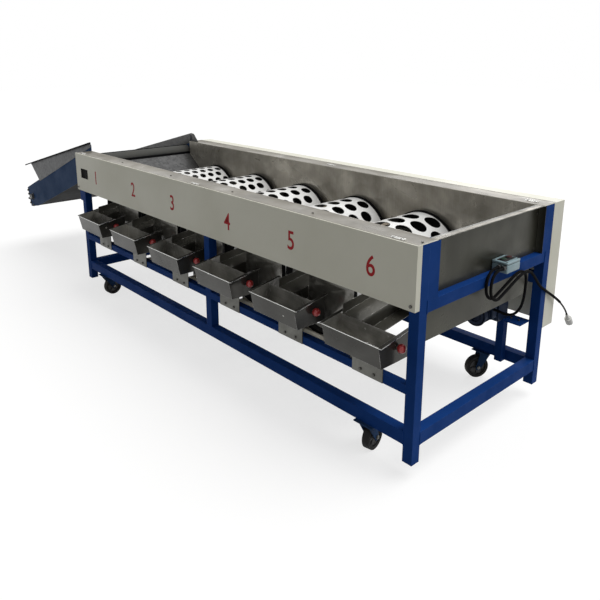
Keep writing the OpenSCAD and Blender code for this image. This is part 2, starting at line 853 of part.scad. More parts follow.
module conveyor_belt() {
    y0 = near_y + side_t + belt_gap;
    y1 = far_y - belt_gap;
    r = roller_r + belt_t;
    n = 5;
    step = belt_l / n;
    color("#6f7268") place() on_slope()
        difference() {
            union() {
                belt_loop(r, y0, y1);
                for (i = [0 : n - 1], s = [-1, 1]) {
                    u = step * (i + cleat_share);
                    z0 = s > 0 ? r - belt_t / 2 : -r - cleat_h;
                    block([u - cleat_t / 2, y0, z0], [u + cleat_t / 2, y1, z0 + cleat_h + belt_t / 2]);
                }
            }
            belt_loop(roller_r, y0 - cut, y1 + cut);
        }
}

module conveyor_pan() {
    color("#33363a") place() on_slope()
        block([tail_over + sheet_t, near_y + side_t, sheet_t - half_w],
            [cut_u(-half_w) - bar_w / 2, far_y, 2 * sheet_t - half_w]);
}

module hopper_flares() {
    x0 = tail_x + tail_over * hopper_shares[0];
    x1 = tail_x + tail_over * hopper_shares[1];
    x2 = plate_cut_x;
    z0 = side_top_z(x1) + hopper_h * hopper_shares[2];
    z2 = side_top_z(x2) + hopper_h * hopper_shares[3];
    outline = [[x0, z0], [x2, z2], [x2, side_top_z(x2) - hopper_lap], [x1, side_top_z(x1) - hopper_lap]];
    lip = [[x0, z0], [x2, z2], [x2, z2 - sheet_t], [x0, z0 - sheet_t]];
    color("#84868a") place() {
        union() {
            xz_bar(outline, near_y - sheet_t, near_y);
            xz_bar(lip, near_y - lip_w, near_y);
        }
        union() {
            xz_bar(outline, far_y + side_t, far_y + side_t + sheet_t);
            xz_bar(lip, far_y + side_t, far_y + side_t + lip_w);
        }
    }
}

// Drive
module gear_motor() {
    color("#2a4f9a") place()
        translate([-motor_x, 0, motor_z])
            difference() {
                union() {
                    rod(motor_r, motor_front, gear_y);
                    for (i = [1 : fins])
                        rod(motor_r + fin_h, motor_front + i * motor_l / (fins + 1),
                            motor_front + i * motor_l / (fins + 1) + fin_h);
                    block([-gear_h / 2, gear_y, -gear_h / 2], [gear_h / 2, gear_back, gear_h / 2]);
                    block([0, motor_front + motor_l * term_shares[0], -term_h],
                        [motor_r + term_h / 2, motor_front + motor_l * term_shares[1], motor_r + fin_h]);
                }
                rod(gear_shaft_r + fit, gear_back - bearing_w, gear_back + cut);
            }
}

module motor_mount() {
    color(frame_blue) place()
        block([-motor_x - gear_h / 2, rear_y - mount_d, mount_z - mount_t], [mount_t - leg_w, rear_y, mount_z]);
}

module chain_loop(spots, y0, y1) {
    translate([0, y1, 0])
        rotate([90, 0, 0])
            linear_extrude(height = y1 - y0)
                difference() {
                    hull()
                        for (s = spots)
                            translate([s[0], s[1]])
                                circle(r = s[2] + chain_h, $fn = fine);
                    hull()
                        for (s = spots)
                            translate([s[0], s[1]])
                                circle(r = s[2] + cut, $fn = fine);
                }
}

module drive_chain() {
    pad = sprocket_w / 4;
    color(dark) place() {
        chain_loop([[drum_x(0), drum_z, sprocket_r], [drum_x(drums - 1), drum_z, sprocket_r],
            [-motor_x, motor_z, drive_r]], sprocket_y + pad, sprocket_y + sprocket_w - pad);
        chain_loop([[drum_x(0), drum_z, sprocket_r * feed_share], [head_x, head_z, drive_r * feed_share]],
            feed_sprocket_y + pad, feed_sprocket_y + sprocket_w - pad);
    }
}

// Electrics
module switch_box() {
    color("#5d6b62") place()
        difference() {
            union() {
                block([box_x + sheet_t, box_y + sheet_t, end_rail_top],
                    [box_out - sheet_t, box_y + box_l - sheet_t, box_top]);
                block([box_x, box_y, end_rail_top], [box_out, box_y + box_l, box_top - 2 * box_t]);
            }
            block([box_x + sheet_t + box_t, box_y + sheet_t + box_t, end_rail_top + box_t],
                [box_out - sheet_t - box_t, box_y + box_l - sheet_t - box_t, box_top - box_t]);
            for (s = button_y_shares)
                translate([box_x + box_w / 2, box_y + s * box_l, box_top - 2 * box_t])
                    cylinder(r = button_r + loose, h = 3 * box_t, $fn = fine);
        }
}

module cable_glands() {
    color(dark) place()
        for (x = [motor_gland_x, mains_gland_x])
            translate([x, 0, gland_z])
                union() {
                    rod(sleeve_r + gland_wall, gland_y, box_y);
                    translate([0, box_y, 0])
                        rotate([90, 0, 0])
                            cylinder(r = sleeve_r + gland_wall + cut, h = gland_wall * 2, $fn = 6);
                }
}

module mains_cable() {
    color("#1a1b1c") place() {
        swept(mains_route, sleeve_r);
        swept(lead_route, lead_r);
    }
}

module motor_cable() {
    color("#1a1b1c") place()
        swept(motor_route, sleeve_r);
}

module plug() {
    color("#e8e8e4") place()
        translate(plug_at)
            rotate([-lead_dir, 0, 0])
                union() {
                    translate([0, 0, 0])
                        rotate([-90, 0, 0])
                            cylinder(r1 = lead_r + cut, r2 = plug_r * neck_share, h = relief_l, $fn = hole_fn);
                    rod(plug_r, relief_l, relief_l + plug_l);
                    for (s = [-1, 1])
                        translate([s * pin_gap / 2, 0, 0])
                            rod(plug_pin_r, relief_l + plug_l, relief_l + plug_l + plug_pin_l);
                }
}

// Casters
module caster_plates() {
    color(navy) place()
        for (c = caster_places)
            translate([c[0], c[1], low_rail_z])
                union() {
                    block([-plate_l / 2, -plate_w / 2, -plate_t], [plate_l / 2, plate_w / 2, 0]);
                    translate([0, 0, -plate_t - loose - crown_t - play - nut_t])
                        cylinder(r = pin_r, h = crown_t + play + nut_t + plate_t, $fn = fine);
                    translate([0, 0, -plate_t - loose - crown_t - play - nut_t])
                        cylinder(r = pin_r + nut_t, h = nut_t, $fn = fine);
                }
}

// Moves a piece drawn round the swivel axis to one caster
module at_caster(i) {
    translate([caster_places[i][0], caster_places[i][1], 0])
        rotate([0, 0, caster_turns[i]])
            children();
}

module caster_fork(i) {
    top = fork_top - crown_t;
    arm = [[-crown_r, fork_top], [-trail - arm_r, axle_z], [-trail - arm_r / 2, axle_z - arm_r],
        [arm_r / 2 - trail, axle_z - arm_r], [crown_r, top], [crown_r, fork_top]];
    color(navy) place() at_caster(i)
        difference() {
            union() {
                block([-crown_r, -fork_out, top], [crown_r, fork_out, fork_top]);
                for (y = [-fork_out, fork_in])
                    xz_bar(arm, y, y + fork_t);
                translate([-trail, 0, axle_z])
                    rod(axle_r, -fork_out - fork_t, fork_out + fork_t);
            }
            translate([0, 0, top - cut])
                cylinder(r = pin_r + fit, h = crown_t + 2 * cut, $fn = fine);
        }
}

module caster_fork_1() { caster_fork(0); }
module caster_fork_2() { caster_fork(1); }
module caster_fork_3() { caster_fork(2); }
module caster_fork_4() { caster_fork(3); }

module caster_wheel(i) {
    w = wheel_w / 2;
    h = hub_w / 2;
    e = w * edge_share;
    profile = [[axle_r + fit, -h], [axle_r + hub_wall, -h], [axle_r + hub_wall, -w * web_share],
        [wheel_r * tread_share, -w * web_share], [wheel_r * tread_share, -w], [wheel_r - e, -w],
        [wheel_r, e - w], [wheel_r, w - e], [wheel_r - e, w], [wheel_r * tread_share, w],
        [wheel_r * tread_share, w * web_share], [axle_r + hub_wall, w * web_share],
        [axle_r + hub_wall, h], [axle_r + fit, h]];
    color("#232426") place() at_caster(i)
        translate([-trail, 0, axle_z])
            rotate([90, 0, 0])
                rotate_extrude($fn = fine)
                    polygon(profile);
}

module caster_wheel_1() { caster_wheel(0); }
module caster_wheel_2() { caster_wheel(1); }
module caster_wheel_3() { caster_wheel(2); }
module caster_wheel_4() { caster_wheel(3); }

// Drums
module drum_shell(k) {
    d = hole_ds[k];
    rows = hole_rows[k];
    n = hole_counts[k];
    step = shell_l / (n + stagger_share);
    color("#f1f1ec") place()
        translate([drum_x(k), 0, drum_z])
            difference() {
                rotate([-90, 0, 0])
                    translate([0, 0, shell_y])
                        cylinder(r = drum_r, h = shell_l, $fn = round_fn);
                rotate([-90, 0, 0])
                    translate([0, 0, shell_y - cut])
                        cylinder(r = drum_r - drum_t, h = shell_l + 2 * cut, $fn = round_fn);
                for (i = [0 : rows - 1], j = [0 : n - 1])
                    rotate([0, 360 * i / rows, 0])
                        translate([0, shell_y + step * (j + stagger_share + stagger_share * (i % 2)),
                            drum_r - drum_t - hole_deep])
                            cylinder(d = d, h = drum_t + 2 * hole_deep, $fn = hole_fn);
            }
}

module drum_shell_1() { drum_shell(0); }
module drum_shell_2() { drum_shell(1); }
module drum_shell_3() { drum_shell(2); }
module drum_shell_4() { drum_shell(3); }
module drum_shell_5() { drum_shell(4); }

// Ring with a thin spigot inside the shell
module drum_core(k) {
    inner = drum_r - drum_t - seat;
    color(dark) place()
        translate([drum_x(k), 0, drum_z]) {
            difference() {
                union() {
                    rod(drum_r, ring_y, shell_y);
                    rod(inner, shell_y, shell_y + ring_h);
                }
                rod(drum_r - ring_h, ring_y - cut, shell_y + ring_h + cut);
            }
            union() {
                rod(drum_r + disc_lip, disc_y, disc_y + disc_t);
                difference() {
                    rod(inner, disc_y - ring_h, disc_y);
                    rod(inner - drum_t, disc_y - ring_h - cut, disc_y + cut);
                }
                rod(hub_r, disc_y, disc_y + 2 * disc_t);
                rod(shaft_r, disc_y, shaft_end);
                rod(sprocket_r, sprocket_y, sprocket_y + sprocket_w);
                if (k == 0)
                    rod(sprocket_r * feed_share, feed_sprocket_y, feed_sprocket_y + sprocket_w);
            }
        }
}

module drum_core_1() { drum_core(0); }
module drum_core_2() { drum_core(1); }
module drum_core_3() { drum_core(2); }
module drum_core_4() { drum_core(3); }
module drum_core_5() { drum_core(4); }

// Roller inside the belt with its shaft
module roller(shaft_to) {
    y0 = near_y + side_t + belt_gap;
    y1 = far_y - bearing_w - belt_gap;
    difference() {
        rod(roller_r - loose, y0, y1);
        rod(roller_r - roller_t, y0 + roller_t, y1 - roller_t);
    }
    rod(roller_shaft_r, near_y - bearing_w, shaft_to);
}

module head_roller() {
    color(zinc) place() on_slope()
        translate([belt_l, 0, 0])
            union() {
                roller(feed_sprocket_y + sprocket_w);
                rod(drive_r * feed_share, feed_sprocket_y, feed_sprocket_y + sprocket_w);
            }
}

module tail_roller() {
    color(zinc) place() on_slope()
        union() {
            roller(far_y + side_t + bearing_w);
        }
}

module drive_sprocket() {
    color(zinc) place()
        translate([-motor_x, 0, motor_z])
            union() {
                rod(gear_shaft_r, gear_back - bearing_w + cut, sprocket_y + sprocket_w);
                rod(drive_r, sprocket_y, sprocket_y + sprocket_w);
            }
}

// Push button with a collar inside the box
module button(i) {
    translate([box_x + box_w / 2, box_y + button_y_shares[i] * box_l, 0])
        union() {
            translate([0, 0, box_top - 2 * box_t - button_h])
                cylinder(r = button_r, h = 2 * button_h + 2 * box_t, $fn = fine);
            translate([0, 0, box_top - box_t - loose - collar_t])
                cylinder(r = button_r + collar_t, h = collar_t, $fn = fine);
        }
}

module start_button() {
    color("#1d5a35") place() button(0);
}

module stop_button() {
    color("#4a1518") place() button(1);
}

corner_legs();
lower_rails();
upper_rails();
tray_rail();
posts();
front_panel();
rear_cover();
trough_walls();
end_plates();
deck_plates();
infeed_plate();
conveyor_brackets();
slides();
tray_1();
tray_2();
tray_3();
tray_4();
tray_5();
tray_6();
tray_brackets();
tray_knobs();
frame_bolts();
bearings();
drum_saddles();
conveyor_plates();
conveyor_belt();
conveyor_pan();
hopper_flares();
gear_motor();
motor_mount();
drive_chain();
switch_box();
cable_glands();
mains_cable();
motor_cable();
plug();
caster_plates();
caster_fork_1();
caster_fork_2();
caster_fork_3();
caster_fork_4();
caster_wheel_1();
caster_wheel_2();
caster_wheel_3();
caster_wheel_4();
drum_shell_1();
drum_shell_2();
drum_shell_3();
drum_shell_4();
drum_shell_5();
drum_core_1();
drum_core_2();
drum_core_3();
drum_core_4();
drum_core_5();
head_roller();
tail_roller();
drive_sprocket();
start_button();
stop_button();
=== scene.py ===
"""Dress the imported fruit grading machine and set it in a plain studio."""

import json
import logging
import math
from dataclasses import dataclass
from enum import Enum
from typing import Callable, Mapping, Sequence

import bmesh
import bpy
from mathutils import Matrix, Vector


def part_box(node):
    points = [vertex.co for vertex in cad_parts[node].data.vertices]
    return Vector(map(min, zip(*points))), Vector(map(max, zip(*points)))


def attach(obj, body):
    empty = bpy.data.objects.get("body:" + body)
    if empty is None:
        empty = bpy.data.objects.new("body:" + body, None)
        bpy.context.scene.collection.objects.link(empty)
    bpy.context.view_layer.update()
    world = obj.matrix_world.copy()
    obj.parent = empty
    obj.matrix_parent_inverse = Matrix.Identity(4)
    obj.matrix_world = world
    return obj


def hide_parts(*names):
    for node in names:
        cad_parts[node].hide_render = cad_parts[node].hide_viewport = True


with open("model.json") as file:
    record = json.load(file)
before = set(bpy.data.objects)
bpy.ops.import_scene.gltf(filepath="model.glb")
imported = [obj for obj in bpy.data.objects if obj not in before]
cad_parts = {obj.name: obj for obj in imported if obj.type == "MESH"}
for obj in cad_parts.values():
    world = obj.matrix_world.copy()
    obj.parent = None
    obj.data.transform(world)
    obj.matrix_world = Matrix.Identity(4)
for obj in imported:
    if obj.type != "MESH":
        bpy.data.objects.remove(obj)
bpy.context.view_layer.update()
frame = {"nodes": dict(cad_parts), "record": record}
LOG = logging.getLogger("fruit_grader")

Colour = tuple[float, float, float]
Point = tuple[float, float, float]
Obj = bpy.types.Object
Material = bpy.types.Material
Node = bpy.types.Node
Socket = bpy.types.NodeSocket
Tree = bpy.types.NodeTree

PANEL_TOP = 0.970
PANEL_LOW, PANEL_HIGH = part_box("front_panel")
ORIGIN = Vector((-PANEL_HIGH.x, -PANEL_LOW.y, PANEL_TOP - PANEL_HIGH.z))
BASE = "base"
PITCH = 505.0
MM = 0.001
UP = Vector((0.0, 0.0, 1.0))
FRONT = Vector((0.0, -1.0, 0.0))
RIGHT = Vector((1.0, 0.0, 0.0))
COAT_ROUGH = 0.12
BUMP_DEPTH = 0.001
SOFT_SAMPLES = 4
FLAT = 0.9
FACING = 0.95
MEDIUM_ANGLE = 40.0
STEEP_ANGLE = 50.0
ROUND_SMOOTH = 60.0
RIB_SMOOTH = 20.0
FINE_EDGE = 0.0003
THIN_EDGE = 0.0005
SMALL_EDGE = 0.0008
FULL_EDGE = 0.0012


def at(x: float, y: float, z: float) -> Vector:
    """Turn millimetres from the panel's right end, its face and the leg bottoms into the row frame."""
    return Vector((x, y, z)) / 1000.0 - ORIGIN


class Grain(Enum):
    """Direction that a sheet was brushed in."""

    ALONG_X = (2.0, 60.0, 60.0)
    ALONG_Y = (60.0, 2.0, 60.0)
    ALONG_Z = (60.0, 60.0, 2.0)


class NodeDesk:
    """Places shader nodes in one tree and wires them."""

    def __init__(self, tree: Tree) -> None:
        """Keep the tree that the nodes go into."""
        self.tree = tree

    def feed(self, slot: Socket, value: object) -> None:
        """Wire a socket to an input, or set the input's own value.

        Args:
            slot: The input.
            value: A socket or a plain value.
        """
        if isinstance(value, Socket):
            self.tree.links.new(value, slot)
        else:
            slot.default_value = value

    def add(self, kind: str, *values: object, **named: object) -> Node:
        """Add a node and set its properties and inputs.

        Args:
            kind: The node's type name after ShaderNode.
            values: Sockets or values for its first inputs, in order.
            named: Sockets or values for other inputs, and plain properties.

        Returns:
            The new node.
        """
        node = self.tree.nodes.new(f"ShaderNode{kind}")
        for name, value in named.items():
            if name in node.inputs:
                self.feed(node.inputs[name], value)
            else:
                setattr(node, name, value)
        for slot, value in zip(node.inputs, values):
            self.feed(slot, value)
        return node

    def place(self, label: str = "Object") -> Socket:
        """Return a place or a normal in the piece's own frame."""
        return self.add("TexCoord").outputs[label]

    def noise(self, place: Socket, **inputs: object) -> Socket:
        """Return a cloudy value at a place, with values or sockets for the noise's inputs."""
        return self.add("TexNoise", place, **inputs).outputs["Fac"]

    def math(self, kind: str, *values: object) -> Socket:
        """Work out a value from plain values and sockets, in order."""
        return self.add("Math", *values, operation=kind).outputs[0]

    def dot(self, first: Socket, second: Socket) -> Socket:
        """Return the dot product of two vectors."""
        return self.add("VectorMath", first, second, operation="DOT_PRODUCT").outputs["Value"]

    def group(self, tree: Tree, **inputs: float) -> Socket:
        """Place a node group with values for its inputs and return its mask."""
        return self.add("Group", node_tree=tree, **inputs).outputs["Mask"]

    def blend(self, mask: Socket, first: object, second: object) -> Socket:
        """Mix two colours by a mask.

        Args:
            mask: Share of the second colour.
            first: A colour or a socket.
            second: A colour or a socket.

        Returns:
            The mixed colour's socket.
        """
        mix = self.add("Mix", mask, data_type="RGBA")
        for slot, value in ((mix.inputs[6], first), (mix.inputs[7], second)):
            self.feed(slot, value if isinstance(value, Socket) else (*value, 1.0))
        return mix.outputs[2]

    def ranged(
        self, value: Socket, low: float = 0.0, high: float = 1.0, start: object = 0.0, stop: object = 1.0
    ) -> Socket:
        """Spread a mask that runs from start to stop between low and high."""
        return self.add("MapRange", value, start, stop, low, high).outputs["Result"]

    def close(self, mask: Socket) -> Tree:
        """Give a group its mask as its only output and return the group.

        Args:
            mask: What the group gives.

        Returns:
            The group.
        """
        self.tree.interface.new_socket("Mask", in_out="OUTPUT", socket_type="NodeSocketFloat")
        self.feed(self.tree.nodes.new("NodeGroupOutput").inputs["Mask"], mask)
        return self.tree


def new_group(name: str, **inputs: float) -> tuple[NodeDesk, Mapping[str, Socket]]:
    """Start a shader node group with float inputs.

    Args:
        name: The group's name.
        inputs: Input names and their usual values.

    Returns:
        The desk and the group's inputs.
    """
    tree = bpy.data.node_groups.new(name, "ShaderNodeTree")
    for label, value in inputs.items():
        socket = tree.interface.new_socket(label, in_out="INPUT", socket_type="NodeSocketFloat")
        socket.default_value = value
    return NodeDesk(tree), tree.nodes.new("NodeGroupInput").outputs


def new_material(name: str) -> tuple[Material, NodeDesk]:
    """Start an empty material.

    Args:
        name: The material's name.

    Returns:
        The material and the desk of its nodes.
    """
    material = bpy.data.materials.new(name)
    material.use_nodes = True
    material.node_tree.nodes.clear()
    return material, NodeDesk(material.node_tree)


def make_mottle() -> Tree:
    """Build the cloudy mask that dust and fading follow.

    Returns:
        The node group.
    """
    desk, given = new_group("mottle", Scale=6.0, Low=0.4, High=0.7)
    cloud = desk.noise(desk.place(), Scale=given["Scale"], Detail=6.0, Roughness=0.62)
    return desk.close(desk.ranged(cloud, start=given["Low"], stop=given["High"]))


def make_brushed() -> Tree:
    """Build the fine streaks of brushed or rolled sheet.

    Returns:
        The node group.
    """
    desk, given = new_group("brushed", X=2.0, Y=60.0, Z=60.0)
    stretch = desk.add("CombineXYZ", *(given[label] for label in "XYZ"))
    place = desk.add("VectorMath", desk.place(), stretch.outputs[0], operation="MULTIPLY")
    return desk.close(desk.noise(place.outputs["Vector"], Scale=4.0, Detail=4.0))


def make_chips() -> Tree:
    """Build the small specks where paint is chipped or sheet is scuffed.

    Returns:
        The node group.
    """
    desk, given = new_group("chips", Scale=120.0, Size=0.12)
    cells = desk.add("TexVoronoi", desk.place(), Scale=given["Scale"])
    near = desk.math("LESS_THAN", cells.outputs["Distance"], given["Size"])
    rare = desk.math("GREATER_THAN", desk.noise(desk.place(), Scale=9.0), 0.62)
    return desk.close(desk.math("MULTIPLY", near, rare))


def make_spangle() -> Tree:
    """Build the crystal patches of galvanised sheet.

    Returns:
        The node group.
    """
    desk, given = new_group("spangle", Scale=60.0)
    cells = desk.add("TexVoronoi", desk.place(), Scale=given["Scale"])
    return desk.close(desk.add("RGBToBW", cells.outputs["Color"]).outputs["Val"])


def make_smears() -> Tree:
    """Build the wiped marks on polished sheet.

    Returns:
        The node group.
    """
    desk, given = new_group("smears", Scale=3.0)
    cloud = desk.noise(desk.place(), Scale=given["Scale"], Detail=5.0, Distortion=1.6)
    return desk.close(desk.ranged(cloud, start=0.34, stop=0.68))


def make_wear() -> Tree:
    """Build the patchy lighter look along edges: partly rubbed wear, partly painted edge highlight.

    Returns:
        The node group.
    """
    desk, given = new_group("edge_highlight_and_wear_mask", Radius=0.003)
    soft = desk.add("Bevel", given["Radius"], samples=SOFT_SAMPLES)
    lean = desk.dot(soft.outputs["Normal"], desk.add("NewGeometry").outputs["Normal"])
    patch = desk.ranged(desk.noise(desk.place(), Scale=28.0, Detail=5.0), start=0.40, stop=0.62)
    return desk.close(desk.math("MULTIPLY", desk.ranged(lean, start=0.995, stop=0.86), patch))


def make_halves() -> Tree:
    """Build the mask that is 1 behind the middle of the machine."""
    desk, _ = new_group("halves")
    return desk.close(desk.math("GREATER_THAN", desk.add("SeparateXYZ", desk.place()).outputs["Y"], 0.0))


def make_inside() -> Tree:
    """Build the mask of faces that look at the middle of the nearest drum (Across 0) or tray (Across 1), where the
    finishes put painted shade and painted light.

    Returns:
        The node group.
    """
    desk, given = new_group("inside", X=0.0, Y=0.0, Z=0.0, Pitch=0.5, Across=0.0)
    axes = desk.add("SeparateXYZ", desk.place()).outputs
    half, other = (desk.math("MULTIPLY", given["Pitch"], share) for share in (0.5, -0.5))
    along, back, up = (desk.math("SUBTRACT", axes[label], given[label]) for label in "XYZ")
    near, deep = desk.math("WRAP", along, half, other), desk.math("MULTIPLY", back, given["Across"])
    spoke = desk.add("CombineXYZ", near, deep, up)
    return desk.close(desk.math("LESS_THAN", desk.dot(spoke.outputs[0], desk.place("Normal")), -0.005))


MOTTLE = make_mottle()
BRUSHED = make_brushed()
CHIPS = make_chips()
SPANGLE = make_spangle()
SMEARS = make_smears()
EDGE_HIGHLIGHT_AND_WEAR = make_wear()
HALVES = make_halves()
INWARD_PAINTED_SHADING = make_inside()


@dataclass(frozen=True)
class Finish:
    """A surface finish that becomes one material."""

    name: str
    colour: Colour
    dirt: Colour
    rough: tuple[float, float]
    metallic: float = 0.0
    coat: float = 0.0
    specular: float = 0.5
    cloud: float = 5.0
    soil: float = 0.45
    chips: float = 0.0
    chip_colour: Colour = (0.12, 0.12, 0.13)
    grain: Grain | None = None
    streaks: float = 0.42
    spangle: float = 0.0
    smears: float = 0.0
    # Share and colour of the lighter edges: partly wear, partly painted edge highlight.
    wear: float = 0.0
    wear_colour: Colour = (0.4, 0.4, 0.4)
    rear: Colour | None = None
    # Colour of inward faces: painted shade inside the drums, painted light inside the trays.
    inside: Colour | None = None
    middle: Point = (0.0, 0.0, 0.0)
    across: float = 0.0
    chip_scale: float = 120.0
    bump: float = 0.04
    bump_scale: float = 240.0
    edge: float = 0.0012

    def build(self) -> Material:
        """Make the material.

        Returns:
            The material, with its Principled shader inside it.
        """
        material, desk = new_material(self.name)
        cloud = rough = desk.group(MOTTLE, Scale=self.cloud)
        height = desk.noise(desk.place(), Scale=self.bump_scale, Detail=3.0)
        base: object = self.colour
        if self.rear is not None:
            base = desk.blend(desk.group(HALVES), base, self.rear)
        # Inward faces get painted shade or painted light instead of the base colour.
        if self.inside is not None:
            middle = dict(zip("XYZ", at(*self.middle)))
            hollow = desk.group(INWARD_PAINTED_SHADING, **middle, Across=self.across, Pitch=PITCH * MM)
            base = desk.blend(hollow, base, self.inside)
        colour = desk.blend(desk.ranged(cloud, 0.0, self.soil), base, self.dirt)
        if self.spangle > 0.0:
            rough = desk.group(SPANGLE)
            colour = desk.blend(desk.ranged(rough, 0.0, self.spangle), colour, self.dirt)
        if self.grain is not None:
            rough = height = desk.group(BRUSHED, **dict(zip("XYZ", self.grain.value)))
            colour = desk.blend(desk.ranged(rough, 0.0, self.streaks), colour, self.dirt)
        if self.smears > 0.0:
            rough = desk.group(SMEARS)
            colour = desk.blend(desk.ranged(rough, 0.0, self.smears), colour, self.dirt)
        if self.chips > 0.0:
            specks = desk.group(CHIPS, Size=self.chips, Scale=self.chip_scale)
            colour = desk.blend(specks, colour, self.chip_colour)
        # Lighter edges: partly rubbed wear, partly painted edge highlight where edges catch the light.
        if self.wear > 0.0:
            colour = desk.blend(desk.ranged(desk.group(EDGE_HIGHLIGHT_AND_WEAR), 0.0, self.wear), colour, self.wear_colour)
        shader = desk.add("BsdfPrincipled", **{
            "Base Color": colour, "Roughness": desk.ranged(rough, *self.rough), "Normal": self._relief(desk, height),
            "Metallic": self.metallic, "Coat Weight": self.coat, "Coat Roughness": COAT_ROUGH,
            "Specular IOR Level": self.specular,
        })
        desk.add("OutputMaterial", shader.outputs[0])
        return material

    def _relief(self, desk: NodeDesk, height: Socket) -> Socket:
        """Return the normal with the fine height and the softened edges.

        Args:
            desk: Desk of the material's nodes.
            height: The fine height.

        Returns:
            The normal's socket.
        """
        bump = desk.add("Bump", Strength=self.bump, Distance=BUMP_DEPTH, Height=height)
        if self.edge > 0.0:
            soft = desk.add("Bevel", self.edge, samples=SOFT_SAMPLES)
            desk.feed(bump.inputs["Normal"], soft.outputs["Normal"])
        return bump.outputs["Normal"]


